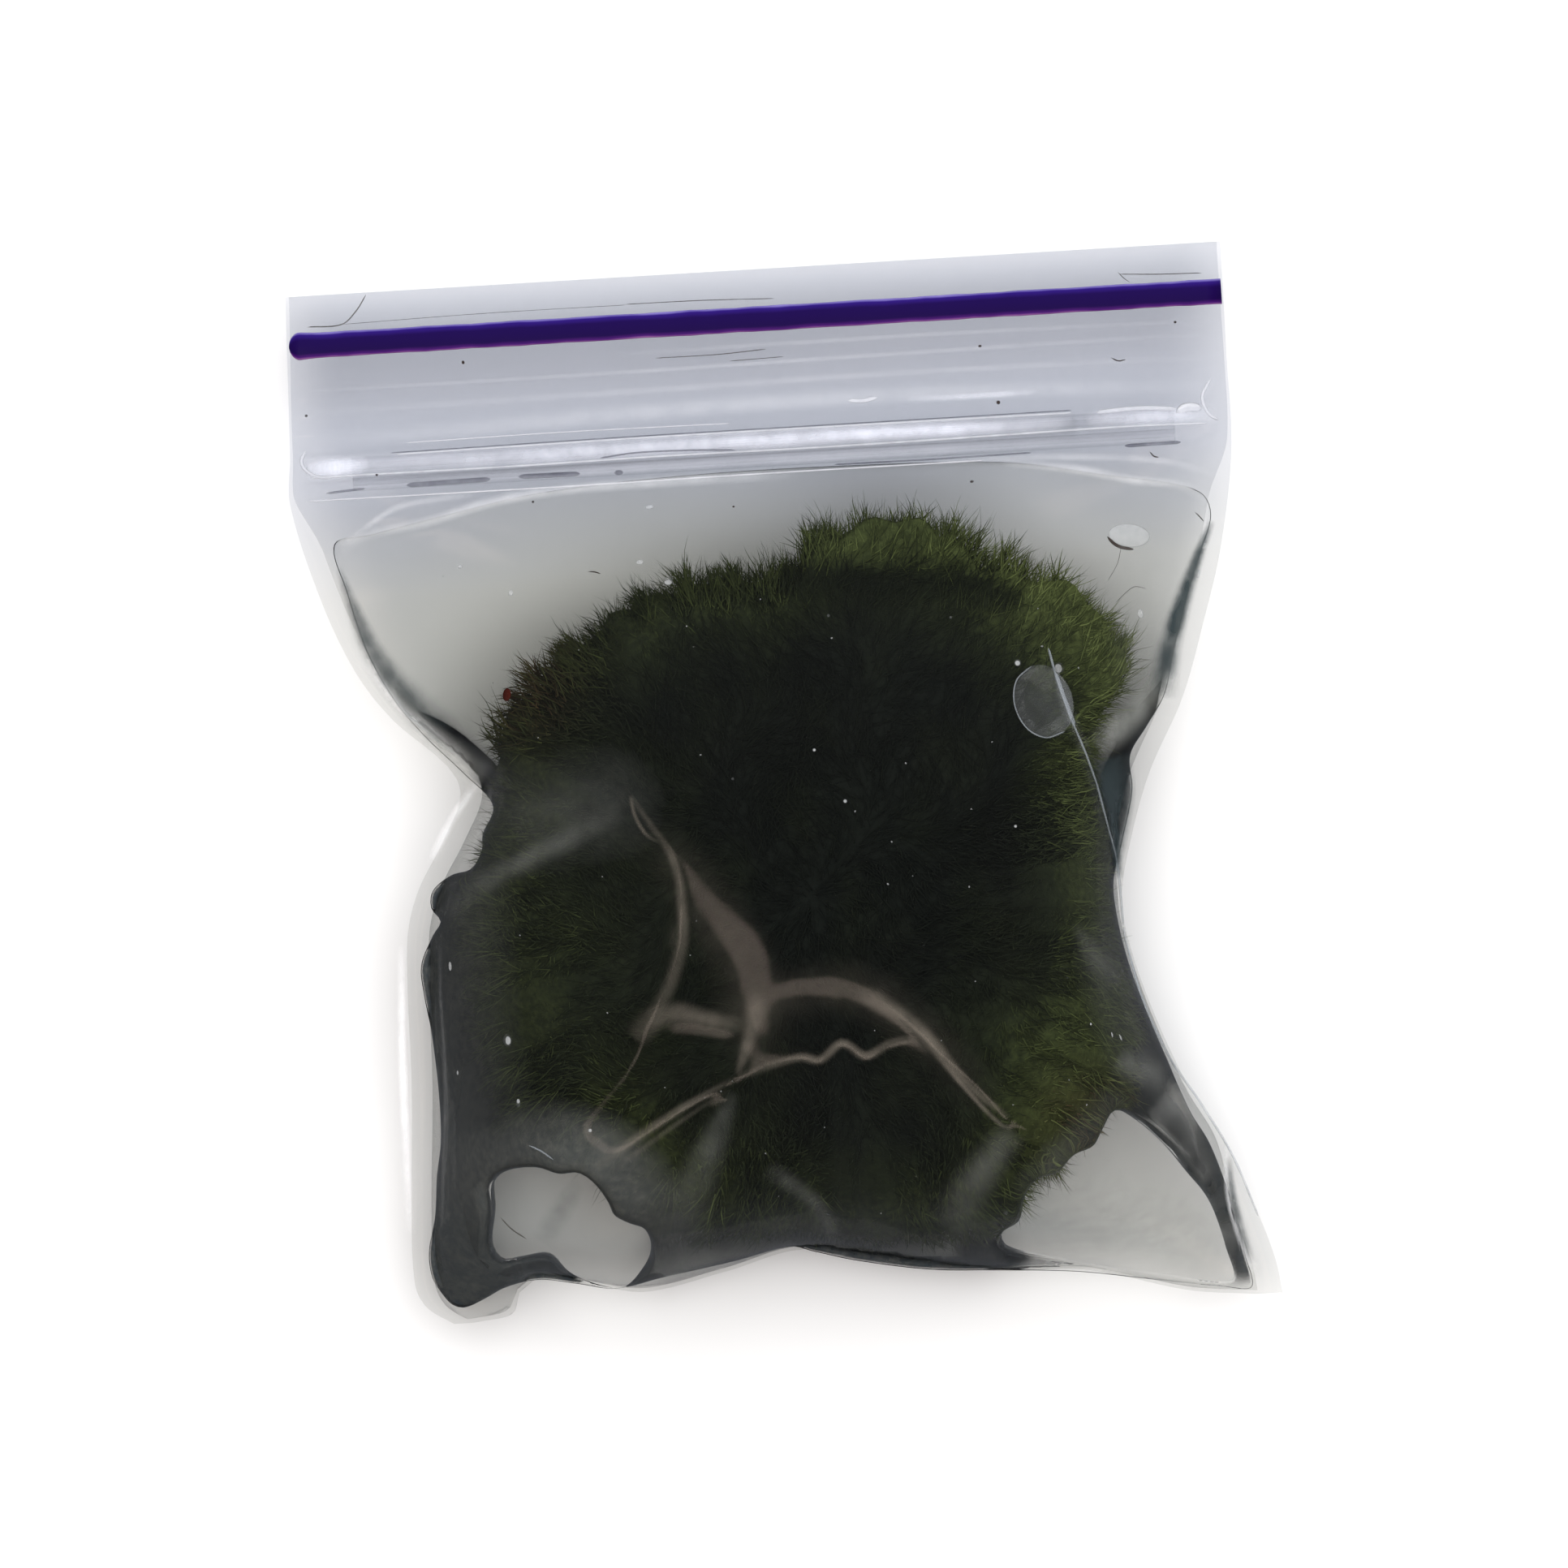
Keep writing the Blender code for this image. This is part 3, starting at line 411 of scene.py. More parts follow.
def beside(line, x, y):
    """Distance from a line, positive on its left, and the share of the way along it."""
    best, side, share = np.full(x.shape, np.inf), np.ones(x.shape), np.zeros(x.shape)
    last = len(line) - 1
    for k in range(last):
        (ax, ay), (dx, dy) = line[k], line[k + 1] - line[k]
        px, py = x - ax, y - ay
        t = np.clip((px * dx + py * dy) / (dx * dx + dy * dy), 0.0, 1.0)
        away = np.hypot(px - t * dx, py - t * dy)
        nearer = away < best
        best = np.where(nearer, away, best)
        side = np.where(nearer, np.where(dx * py - dy * px < 0, -1.0, 1.0), side)
        share = np.where(nearer, (k + t) / last, share)
    return best * side, share


def inside(loop, x, y):
    """Whether points lie in a closed loop, by counting the edges that a ray to the right crosses."""
    found = np.zeros(x.shape, bool)
    for (ax, ay), (bx, by) in zip(loop, np.roll(loop, -1, axis=0)):
        straddles = (ay > y) != (by > y)
        crossing = ax + (y - ay) * (bx - ax) / (by - ay if by != ay else 1e-9)
        found ^= straddles & (x < crossing)
    return found


def seam_height(y):
    """Height at which both walls meet: level with the zip's band near the lip."""
    band = ZIP_Z + (y - ZIP_Y) * LIP_SLOPE
    return np.where(y > SEAM_HEIGHT[-1][0], band, curve(SEAM_HEIGHT, y))


def side_lines(y):
    """Inner edges of the left and right seals."""
    return curve(LEFT_EDGE, y) + curve(LEFT_SEAL, y), curve(RIGHT_EDGE, y) - curve(RIGHT_SEAL, y)


def across(x, y):
    """Place between the seals, -1 at the left one to 1 at the right one."""
    left, right = side_lines(y)
    return np.clip(2 * (x - left) / (right - left) - 1, -1.0, 1.0)


def off_the_ball(x, y):
    """How far a place is past the ball, 0 to 1, where the walls draw together."""
    reach_x, reach_up, reach_down = BALL_REACH
    dx, dy = x - MOSS_CENTRE[0], y - MOSS_CENTRE[1]
    away = np.hypot(dx / reach_x, dy / np.where(dy > 0, reach_up, reach_down))
    start, end = PINCH_RANGE
    return ease((away - start) / (end - start)) * np.clip((ZIP_Y - PINCH_FADE - y) / PINCH_FADE, 0.0, 1.0)


def front_arch(x, y):
    """Cross-section of the front wall: a flat top that falls to both seams, 1 to 0."""
    left, right = side_lines(y)
    bend = curve(LEFT_BEND, y)
    fallen = (
        np.clip((bend - x) / (bend - left), 0.0, 1.0) ** curve(LEFT_POWER, y)
        + np.clip((x - RIGHT_BEND) / (right - RIGHT_BEND), 0.0, 1.0) ** curve(SECTION_POWER, y))
    return np.maximum(1 - fallen, 0.0) ** curve(SEAM_POWER, y)


def back_arch(x, y):
    """Cross-section of the back wall, 1 in the middle to 0 at the seams."""
    return np.maximum(1 - np.abs(across(x, y)) ** curve(BACK_POWER, y), 0.0) ** curve(SEAM_POWER, y)


def front_top(x, y):
    """Height of the flat top. The wavy bend shifts the profile along y."""
    (high_start, high_end), (low_end, low_start) = BEND_FADES
    weight = ease((high_end - y) / (high_end - high_start)) * ease((y - low_end) / (low_start - low_end))
    return curve(FRONT_TOP, y + (LOWER_BEND_Y - curve(LOWER_BEND, x)) * weight)


def fullness(arch, x, y):
    """How much of the middle line's height a wall keeps: 0 at the seams and the fold."""
    u = across(x, y)
    past_fold = y - curve(BOTTOM_FOLD, u) - FOLD_WIDTH
    turn = 1 - np.clip(past_fold / FOLD_RADIUS, 0.0, 1.0)
    return arch * np.sqrt(1 - turn**2) * (1 - CORNER_PINCH * off_the_ball(x, y))


def crease_height(x, y):
    """How far the creases lift the front wall."""
    lift = np.zeros(x.shape)
    for stepped, table in ((True, STEPS), (False, RIDGES)):
        for points, height, width, first, last in table:
            line = smooth_line(points)
            room = CREASE_ROOM * width
            low, high = line.min(axis=0) - room, line.max(axis=0) + room
            near = (x > low[0]) & (x < high[0]) & (y > low[1]) & (y < high[1])
            distance, share = beside(line, x[near], y[near])
            away = distance / width
            shape = np.tanh(away) * np.exp(-((away / 3) ** 2)) if stepped else np.exp(-(away**2))
            lift[near] += height * shape * (ease(share / first) * ease((1 - share) / last))
    return lift


def pleat_drop(x, y):
    """How far the front wall drops to the right of the pleat."""
    distance, share = beside(smooth_line(PLEAT), x, y)
    fallen = ease(0.5 + distance / PLEAT_WIDTH / 2) * np.exp(-((np.maximum(distance, 0) / PLEAT_REACH) ** 2))
    return PLEAT_DROP * fallen * ease(share / PLEAT_FADES[0]) * ease((1 - share) / PLEAT_FADES[1])


def front_wall(x, y):
    """Height of the front wall's outside, with its creases."""
    full = fullness(front_arch(x, y), x, y)
    ribs = sum(np.exp(-(((y - at) / RIB_WIDTH) ** 2)) for at in BAND_RIBS) * RIB_HEIGHT
    relief = (crease_height(x, y) - pleat_drop(x, y)) * np.minimum(full * RELIEF_FADE, 1.0)
    seam = seam_height(y)
    return seam + FILM + (front_top(x, y) - seam) * full + relief + ribs


def back_wall(x, y):
    """Height of the back wall's outside, pressed flat where it meets the surface below."""
    seam = seam_height(y)
    rise = np.maximum(curve(BACK_RISE, y), 0.0)
    drop = np.maximum(seam - rise, 0.0) * FLOOR_GRIP
    return np.maximum(seam - FILM - drop * fullness(back_arch(x, y), x, y), 0.0)


# ---------------------------------------------------------------- pieces
def set_value(piece, name, values):
    attribute = piece.data.attributes.new(name, "FLOAT", "POINT")
    attribute.data.foreach_set("value", np.asarray(values, np.float32))


def new_piece(name, points, faces, material, slot, replaces=(), outward=True):
    """A mesh object from points in millimetres, riding on the part's one body."""
    mesh = bpy.data.meshes.new(name)
    mesh.from_pydata((np.asarray(points) * MM).tolist(), [], faces)
    if outward:
        bm = bmesh.new()
        bm.from_mesh(mesh)
        bmesh.ops.recalc_face_normals(bm, faces=bm.faces)
        bm.to_mesh(mesh)
        bm.free()
    mesh.shade_smooth()
    mesh.materials.append(material)
    piece = bpy.data.objects.new(name, mesh)
    bpy.context.scene.collection.objects.link(piece)
    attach(piece, "root")
    if replaces:
        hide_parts(*replaces)
    return piece


def grid_faces(numbers):
    """Quads over a grid of vertex numbers."""
    a, b, c, d = numbers[:-1, :-1], numbers[:-1, 1:], numbers[1:, 1:], numbers[1:, :-1]
    return np.stack((a, b, c, d), axis=-1).reshape(-1, 4).tolist()


def strip_faces(fine, coarse):
    """Faces between a line of vertices and one with half as many openings."""
    return [
        [fine[2 * k], fine[2 * k + 1], fine[2 * k + 2], coarse[k + 1], coarse[k]] for k in range(len(coarse) - 1)
    ]


def stretches(table):
    """Positions that fill each stretch of a table with its number of even steps."""
    parts = [np.linspace(a, b, int(n), endpoint=False) for (a, n), (b, _) in zip(table, table[1:])]
    return np.concatenate(parts + [[table[-1][0]]])


def film_plan():
    """Plan (x, y) of the film's grid, from the bottom fold to the lip and from edge to edge."""
    lines = np.concatenate(([FOLD_Y, FOLD_Y + FOLD_WIDTH / 2], stretches(ROW_STRETCHES)))[:, None]
    share = np.concatenate(([0, 0], stretches(COLUMN_STRETCHES), [1, 1]))[None, :]
    margin = np.zeros(share.shape)
    margin[0, :2], margin[0, -2:] = (-1.0, -0.5), (0.5, 1.0)
    past_fold = np.clip(lines - FOLD_Y - FOLD_WIDTH, 0.0, None) / FOLD_REACH
    wave = np.clip(1 - past_fold**2, 0.0, None) ** 2
    x, y = np.zeros((len(lines), share.size)), lines + np.zeros(share.shape)
    for _ in range(6):
        left, right = side_lines(y)
        seals = np.where(margin < 0, curve(LEFT_SEAL, y), curve(RIGHT_SEAL, y))
        x = left + share * (right - left) + margin * seals
        y = lines + (curve(BOTTOM_FOLD, across(x, y)) - FOLD_Y) * wave
    return x, y


def film_sheets(wall, x, y, side):
    """A wall's outside, and its inside set in by the film's thickness and closed on the seams."""
    outer = np.stack((x, y, wall(x, y)), axis=-1)
    upright = np.cross(np.gradient(outer, axis=1), np.gradient(outer, axis=0))
    upright /= np.linalg.norm(upright, axis=-1, keepdims=True)
    inner = outer - upright * side * FILM
    seam = seam_height(y) + side * 0.01
    inner[..., 2] = side * np.maximum(side * inner[..., 2], side * seam)
    return outer, inner, seam


def close_on_seam(outer, inner, seam, first):
    """Brings the edges of the inside onto the seams. The hollow starts this many grid lines in."""
    for where in ((slice(None), first), (slice(None), -1 - first), (first, slice(None))):
        inner[where] = outer[where]
        inner[where][..., 2] = seam[where]
    return inner[first:, first:-first]


def make_film(material):
    """The bag as one closed skin: finely gridded front, back with half as many lines each way."""
    x, y = film_plan()
    half = (slice(None, None, 2), slice(None, None, 2))
    front_out, front_in, front_seam = film_sheets(front_wall, x, y, 1)
    back_out, back_in, back_seam = film_sheets(back_wall, x[half], y[half], -1)
    sheets = (
        front_out,
        back_out,
        close_on_seam(front_out, front_in, front_seam, 2),
        close_on_seam(back_out, back_in, back_seam, 1),
    )
    points, numbers, total = [], [], 0
    for sheet in sheets:
        points.append(sheet.reshape(-1, 3))
        numbers.append(total + np.arange(len(points[-1])).reshape(sheet.shape[:2]))
        total += len(points[-1])
    fo, bo, fi, bi = numbers
    faces = [face for grid in numbers for face in grid_faces(grid)]
    for fine, coarse in ((fo, bo), (fi, bi)):
        for line in ((slice(None), 0), (slice(None), -1), (0, slice(None))):
            faces += strip_faces(fine[line].tolist(), coarse[line].tolist())
    faces += grid_faces(np.stack((fo[-1, 2:-2], fi[-1])))
    faces += grid_faces(np.stack((bo[-1, 1:-1], bi[-1])))
    faces.append([fo[-1, 0], fo[-1, 1], fo[-1, 2], fi[-1, 0], bi[-1, 0], bo[-1, 1], bo[-1, 0]])
    faces.append([fo[-1, -1], fo[-1, -2], fo[-1, -3], fi[-1, -1], bi[-1, -1], bo[-1, -2], bo[-1, -1]])
    return new_piece("film", np.concatenate(points), faces, material, "clear_film", ("bag_film",))


def ball_mesh(rings, segments):
    """Unit sphere as points and faces that look outward."""
    polar = np.linspace(0, math.pi, rings + 1)[1:-1]
    turn = np.arange(segments) / segments * math.tau
    points = [(0.0, 0.0, 1.0)]
    points += [(math.sin(p) * math.cos(a), math.sin(p) * math.sin(a), math.cos(p)) for p in polar for a in turn]
    points.append((0.0, 0.0, -1.0))
    faces = []
    for k in range(segments):
        after = (k + 1) % segments
        faces.append((0, 1 + k, 1 + after))
        for ring in range(rings - 2):
            base = 1 + ring * segments
            faces.append((base + k, base + segments + k, base + segments + after, base + after))
        base = 1 + (rings - 2) * segments
        faces.append((len(points) - 1, base + after, base + k))
    return np.array(points), faces


def face_edges(faces, count):
    """Edges of triangles, how many triangles each one has, and which of the points lie on the rim."""
    edges = np.concatenate((faces[:, [0, 1]], faces[:, [1, 2]], faces[:, [2, 0]]))
    edges, uses = np.unique(np.sort(edges, axis=1), axis=0, return_counts=True)
    on_rim = np.zeros(count, bool)
    on_rim[edges[uses == 1].ravel()] = True
    return edges, uses, on_rim


def water_domain():
    """Triangles over the water's plan, with closer points near its rim and under the creases."""
    loops = [smooth_line(loop, RIM_SPACING, closed=True) for loop in (WATER_OUTLINE, *POCKETS)]

    def rim_distance(x, y):
        return np.min([np.abs(beside(np.vstack((loop, loop[:1])), x, y)[0]) for loop in loops], axis=0)

    def in_water(x, y):
        return inside(loops[0], x, y) & ~inside(loops[1], x, y) & ~inside(loops[2], x, y)

    scattered = []
    for loop in loops:
        heading = np.roll(loop, -1, axis=0) - np.roll(loop, 1, axis=0)
        normal = np.column_stack((-heading[:, 1], heading[:, 0]))
        normal /= np.linalg.norm(normal, axis=1, keepdims=True)
        for offset in RIM_OFFSETS:
            for way in (-1, 1):
                ring = loop + normal * offset * way
                ring = ring[in_water(*ring.T)]
                scattered.append(ring[rim_distance(*ring.T) > offset * 0.8])
    (left, bottom), (right, top) = CREASED
    for spacing in WATER_SPACINGS:
        gx, gy = np.meshgrid(np.arange(-36, 37, spacing), np.arange(-43, 27, spacing))
        gx, gy = gx.ravel(), gy.ravel()
        creased = (gx > left) & (gx < right) & (gy > bottom) & (gy < top)
        chosen = (creased if spacing == WATER_SPACINGS[0] else ~creased) & in_water(gx, gy)
        gx, gy = gx[chosen], gy[chosen]
        clear = rim_distance(gx, gy) > RIM_CLEAR
        scattered.append(np.column_stack((gx[clear], gy[clear])))
    points, rims = [], []
    for loop in loops:
        start = len(points)
        points += loop.tolist()
        rims += [(start + k, start + (k + 1) % len(loop)) for k in range(len(loop))]
    points += np.concatenate(scattered).tolist()
    for _ in range(2):
        found, _, faces, *_ = delaunay_2d_cdt([Vector(p) for p in points], rims, [], 0, 1e-4)
        plan = np.array([tuple(p) for p in found])
        faces = np.array([tuple(f) for f in faces])
        faces = faces[in_water(*plan[faces].mean(axis=1).T)]
        # A link inside the water between two points of its rim is parted, so that the body stays open there.
        edges, uses, on_rim = face_edges(faces, len(plan))
        links = edges[(uses == 2) & on_rim[edges].all(axis=1)]
        points += plan[links].mean(axis=1).tolist()
    a, b, c = plan[faces[:, 0]], plan[faces[:, 1]], plan[faces[:, 2]]
    turned = (b[:, 0] - a[:, 0]) * (c[:, 1] - a[:, 1]) - (b[:, 1] - a[:, 1]) * (c[:, 0] - a[:, 0]) < 0
    faces[turned] = faces[turned][:, ::-1]
    return plan, faces, rim_distance(*plan.T)


def lens(plan, faces, top, low):
    """A closed body over triangles, whose upper and lower side meet on the rim."""
    on_rim = face_edges(faces, len(plan))[2]
    top, low = np.where(on_rim, (top + low) / 2, top), np.where(on_rim, (top + low) / 2, low)
    points = np.concatenate((np.column_stack((plan, top)), np.column_stack((plan, low))))
    under = np.where(on_rim, np.arange(len(plan)), np.arange(len(plan)) + len(plan))
    return points, faces.tolist() + under[faces][:, ::-1].tolist()


def water_heights(plan, rim):
    """Upper and lower side of the water: a gap inside the walls, and rounded off at its rim."""
    top = front_wall(*plan.T) - FILM - WATER_GAP
    low = back_wall(*plan.T) + FILM + WATER_GAP
    middle, thick = (top + low) / 2, np.maximum(top - low, 0.2) / 2
    swell = np.sqrt(1 - (1 - np.clip(rim / WATER_RIM, 0, 1)) ** 2)
    return middle + thick * swell, middle - thick * swell


def make_water(plan, faces, rim, material):
    """The water as one closed body that fills the bag, with its air pockets left out."""
    points, all_faces = lens(plan, faces, *water_heights(plan, rim))
    return new_piece(
        "water", points, all_faces, material, "water", ("water_upper", "water_lower"), outward=False)


def front_slopes(x, y, step=0.5):
    """Slopes of the front wall along x and y."""
    along_x = front_wall(x + step, y) - front_wall(x - step, y)
    along_y = front_wall(x, y + step) - front_wall(x, y - step)
    return along_x / (2 * step), along_y / (2 * step)


def joined(parts):
    """One mesh from parts that each have points and faces."""
    blocks, faces, total = [], [], 0
    for points, part_faces in parts:
        blocks.append(points)
        faces += [[total + number for number in face] for face in part_faces]
        total += len(points)
    return np.concatenate(blocks), faces


def blobs(table, depth):
    """Ellipsoids that lie along the front wall, a depth below it."""
    bx, by, wide, deep, down, turn = np.array(table, float).T
    height = front_wall(bx, by) - depth
    slope_x, slope_y = front_slopes(bx, by)
    parts = []
    for k, angle in enumerate(np.radians(turn)):
        sphere, faces = ball_mesh(*(LARGE_BALL if wide[k] > LARGE else SMALL_BALL))
        px, py, pz = (sphere * (wide[k], deep[k], down[k])).T
        px, py = px * math.cos(angle) - py * math.sin(angle), px * math.sin(angle) + py * math.cos(angle)
        pz = pz + height[k] - down[k] + px * slope_x[k] + py * slope_y[k]
        parts.append((np.column_stack((px + bx[k], py + by[k], pz)), faces))
    return joined(parts)


def dust():
    """Tiny bubbles in a table like BUBBLES."""
    random = np.random.default_rng(5)
    size = random.uniform(0.035, 0.075, BUBBLE_DUST)
    return np.column_stack((
        random.uniform(-27, 25, BUBBLE_DUST), random.uniform(-34, 20, BUBBLE_DUST), size,
        size * random.uniform(1.0, 1.6, BUBBLE_DUST), size, random.uniform(0, 180, BUBBLE_DUST)))


def headings(path):
    """Steps of length 1 along a line."""
    steps = np.gradient(path, axis=0)
    return steps / np.linalg.norm(steps, axis=1, keepdims=True)


def tubes(lines, height, sides=6):
    """Round strokes with pointed ends, along a surface."""
    parts = []
    for line, wide, thick in lines:
        path = smooth_line(line, TUBE_SPACING)
        heading = headings(path)
        z = height(*path.T)
        count = len(path)
        nearest_end = np.minimum(np.arange(count), np.arange(count)[::-1])
        taper = np.sqrt(np.clip(nearest_end / 1.5 + 0.04, 0.0, 1.0))
        edges = []
        for corner in range(sides):
            turn = math.tau * corner / sides
            sideways, up = wide * math.cos(turn) * taper, thick * math.sin(turn) * taper
            edges.append(np.column_stack((
                path[:, 0] - heading[:, 1] * sideways, path[:, 1] + heading[:, 0] * sideways, z + up)))
        numbers = np.arange(sides * count).reshape(sides, count)
        faces = grid_faces(np.concatenate((numbers, numbers[:1])))
        faces += [numbers[:, 0].tolist(), numbers[::-1, -1].tolist()]
        parts.append((np.concatenate(edges), faces))
    return joined(parts)


def ribbons(lines, height, columns=13):
    """Soft flat streaks that lie along a surface, and how strong each of their points is."""
    parts, covers = [], []
    spread = np.linspace(-1, 1, columns)
    for line, first, last, strength in lines:
        path = smooth_line(line, RIBBON_SPACING)
        heading = headings(path)
        share = np.linspace(0, 1, len(path))
        sideways = SPREAD * (first + (last - first) * share)[:, None] * spread
        x, y = path[:, :1] - heading[:, 1:] * sideways, path[:, 1:] + heading[:, :1] * sideways
        z = height(x, y)
        cover = strength * (1 - spread**2) ** FEATHER * (np.sin(math.pi * share) ** END_FEATHER)[:, None]
        covers += [cover.ravel(), cover.ravel()]
        sides = [np.column_stack((x.ravel(), y.ravel(), (z + side * RIBBON).ravel())) for side in (0.5, -0.5)]
        top = np.arange(x.size).reshape(x.shape)
        low = top + x.size
        around = np.concatenate((top[0], top[1:, -1], top[-1, -2::-1], top[-2::-1, 0]))
        faces = grid_faces(top) + grid_faces(low[:, ::-1]) + grid_faces(np.stack((around + x.size, around)))
        parts.append((np.concatenate(sides), faces))
    return *joined(parts), np.concatenate(covers)


def make_streaks(name, lines, height, colour, share):
    """Soft streaks of shine or shade as one piece, which casts no shadow."""
    points, faces, covers = ribbons(lines, height)
    piece = new_piece(name, points, faces, veil_material(name, colour, share, covered=True), "clear_film")
    piece.visible_shadow = False
    set_value(piece, "cover", np.clip(covers, 0.0, 2.0))


def on_film(x, y):
    return front_wall(x, y) - FILM / 2


def on_zip(x, y):
    return front_wall(x, y) - FILM - 0.1


def make_bead(material):
    """The coloured bead that is melted onto the front lip, with a blob at its left end."""
    blob_x = BEAD_LEFT + BLOB
    rounded = BEAD_LEFT + BLOB * (1 - np.cos(np.linspace(0, math.pi / 2, 9)[:-1]))
    x = np.concatenate((rounded, np.linspace(blob_x, BEAD_RIGHT, BEAD_STOPS)))
    blob = np.exp(-(((x - BEAD_LEFT - BLOB) / BLOB) ** 2))
    start = np.sqrt(np.clip(1 - ((blob_x - x) / BLOB).clip(0, 1) ** 2, 0.003, 1))
    wobble = 1 + 0.02 * np.sin(x * 0.9) + 0.015 * np.sin(x * 2.3 + 1)
    wide = (BEAD_SIZE[0] * wobble + BLOB_SIZE[0] * blob) * start
    thick = (BEAD_SIZE[1] + BLOB_SIZE[1] * blob) * start
    corners = np.linspace(0, math.tau, BEAD_CORNERS, endpoint=False)
    across_bead = np.cos(corners)
    centre = front_wall(x, np.full(x.shape, BEAD_Y)) + BEAD_LIFT
    px = np.repeat(x[:, None], BEAD_CORNERS, axis=1)
    py = BEAD_Y + wide[:, None] * across_bead
    pz = centre[:, None] + LIP_SLOPE * (py - BEAD_Y) + thick[:, None] * np.sin(corners)
    numbers = np.arange(px.size).reshape(px.shape)
    faces = grid_faces(np.concatenate((numbers, numbers[:, :1]), axis=1))
    faces += [numbers[0].tolist(), numbers[-1, ::-1].tolist()]
    points = np.column_stack((px.ravel(), py.ravel(), pz.ravel()))
    bead = new_piece("lip_bead", points, faces, material, "indigo", ("lip_stripe",))
    set_value(bead, "across", np.tile(across_bead, len(x)))


def cover_at(table, sharp, x, y):
    """How densely a layer lies along the middle lines of a table, 0 to 1."""
    cover = np.zeros(x.shape)
    for line, width, dense in table:
        distance = np.abs(beside(smooth_line(line), x, y)[0])
        cover = np.maximum(cover, dense * ease((width - distance) / width * sharp))
    return np.clip(cover * (1 + 0.12 * waviness(x, y, 3.0, 51)), 0.0, 1.0)


def make_layer(name, water_plan, table, sharp, levels, material):
    """A thin speckled layer over the part of the water's plan that it covers."""
    plan, faces, rim = water_plan
    cover = cover_at(table, sharp, *plan.T)
    cover[rim < COVER_RIM] = 0.0
    faces = faces[(cover[faces] > LEAST_COVER).any(axis=1)]
    used, faces = np.unique(faces, return_inverse=True)
    plan, cover, rim, faces = plan[used], cover[used], rim[used], faces.reshape(-1, 3)
    points, faces = lens(plan, faces, *levels(plan, rim, cover))
    piece = new_piece(name, points, faces, material, "moss", outward=False)
    set_value(piece, "cover", np.concatenate((cover, cover)))


def silt_and_shade_levels(plan, rim, cover):
    """Upper and lower side of the dark layer on the back wall: settled moss and painted shade."""
    low = back_wall(*plan.T) + FILM + WATER_GAP + SILT_AND_SHADE_GAP
    return low + SILT_AND_SHADE_LEAST + SILT_AND_SHADE_THICKNESS * cover, low


def haze_levels(plan, rim, cover):
    """Upper and lower side of the pale layer that hangs under the front wall."""
    top = water_heights(plan, rim)[0] - HAZE_DEPTH
    return top, top - HAZE_THICKNESS


# ---------------------------------------------------------------- moss
def polar_table(points):
    """Reach by angle of a loop round the ball's centre, with two points repeated past each end."""
    px, py = np.array(points).T
    angle = np.arctan2(py - MOSS_CENTRE[1], px - MOSS_CENTRE[0]) % math.tau
    reach = np.hypot(px - MOSS_CENTRE[0], py - MOSS_CENTRE[1])
    order = np.argsort(angle)
    angle, reach = angle[order], reach[order]
    angle = np.concatenate((angle[-2:] - math.tau, angle, angle[:2] + math.tau))
    return np.column_stack((angle, np.concatenate((reach[-2:], reach, reach[:2]))))


def moss_reach(angle):
    """Distance from the ball's centre to its fibres' tips."""
    return curve(polar_table(MOSS_TIPS), angle % math.tau)


def off_centre(reach, angle):
    """Place at a distance from the ball's centre."""
    return MOSS_CENTRE[0] + reach * np.cos(angle), MOSS_CENTRE[1] + reach * np.sin(angle)


def patches(table, x, y):
    """Sum of soft round patches."""
    return sum(
        gain * np.exp(-(((x - at_x) / wide) ** 2) - ((y - at_y) / deep) ** 2)
        for at_x, at_y, wide, deep, gain in table)


def waviness(x, y, size, seed):
    """Smooth noise between about -1 and 1, made of crossing waves."""
    random = np.random.default_rng(seed)
    total = np.zeros(np.shape(x))
    for _ in range(WAVES):
        turn, phase = random.uniform(0, math.tau, 2)
        length = size * random.uniform(*WAVE_LENGTHS)
        total += np.sin((x * math.cos(turn) + y * math.sin(turn)) * math.tau / length + phase)
    return total / WAVE_HEIGHT


def moss_swell(share):
    """The ball's section from its middle to its edge, 1 to 0."""
    inner, outer = MOSS_SWELL
    return np.maximum(1 - np.clip(share, 0, 1) ** inner, 0.0) ** outer


def moss_heights(x, y, share, cover):
    """Upper and lower height of the ball, kept a depth inside the film."""
    lumps = sum(height * waviness(x, y, size, int(seed)) for height, size, seed in MOSS_LUMPS)
    upper = MOSS_Z + (MOSS_TOP + lumps) * moss_swell(share)
    lower = MOSS_Z - (MOSS_BOTTOM - lumps * 0.5) * moss_swell(share)
    upper = np.minimum(upper, front_wall(x, y) - cover)
    lower = np.maximum(lower, back_wall(x, y) + cover)
    middle = (upper + lower) / 2
    return np.maximum(upper, middle), np.minimum(lower, middle)


def green_and_shade_at(x, y):
    """How green the moss is, with painted shade and light: dark in the middle as painted shade, fresh at the fringe
    and, as painted light, most of all to the upper right.
    """
    dx, dy = x - MOSS_CENTRE[0], y - MOSS_CENTRE[1]
    angle = np.arctan2(dy, dx)
    share = np.hypot(dx, dy) / moss_reach(angle)
    fringe = ease((share - 0.6) / 0.4) * curve(FRINGE_GREEN_AND_LIGHT, angle % math.tau)
    furrow_shade = FURROW_SHADE_DEPTH * np.exp(-((beside(smooth_line(FURROW_SHADE_LINE), x, y)[0] / FURROW_SHADE_WIDTH) ** 2))
    return np.clip((fringe + patches(MOSS_PALER, x, y)) * (1 - furrow_shade) + 0.05 * waviness(x, y, 7.0, 31), 0.0, 1.0)


def wither_at(x, y):
    """How brown the fibres are: some at the upper left edge and at the lower right."""
    return np.clip(patches(WITHERED, x, y), 0.0, 1.0)


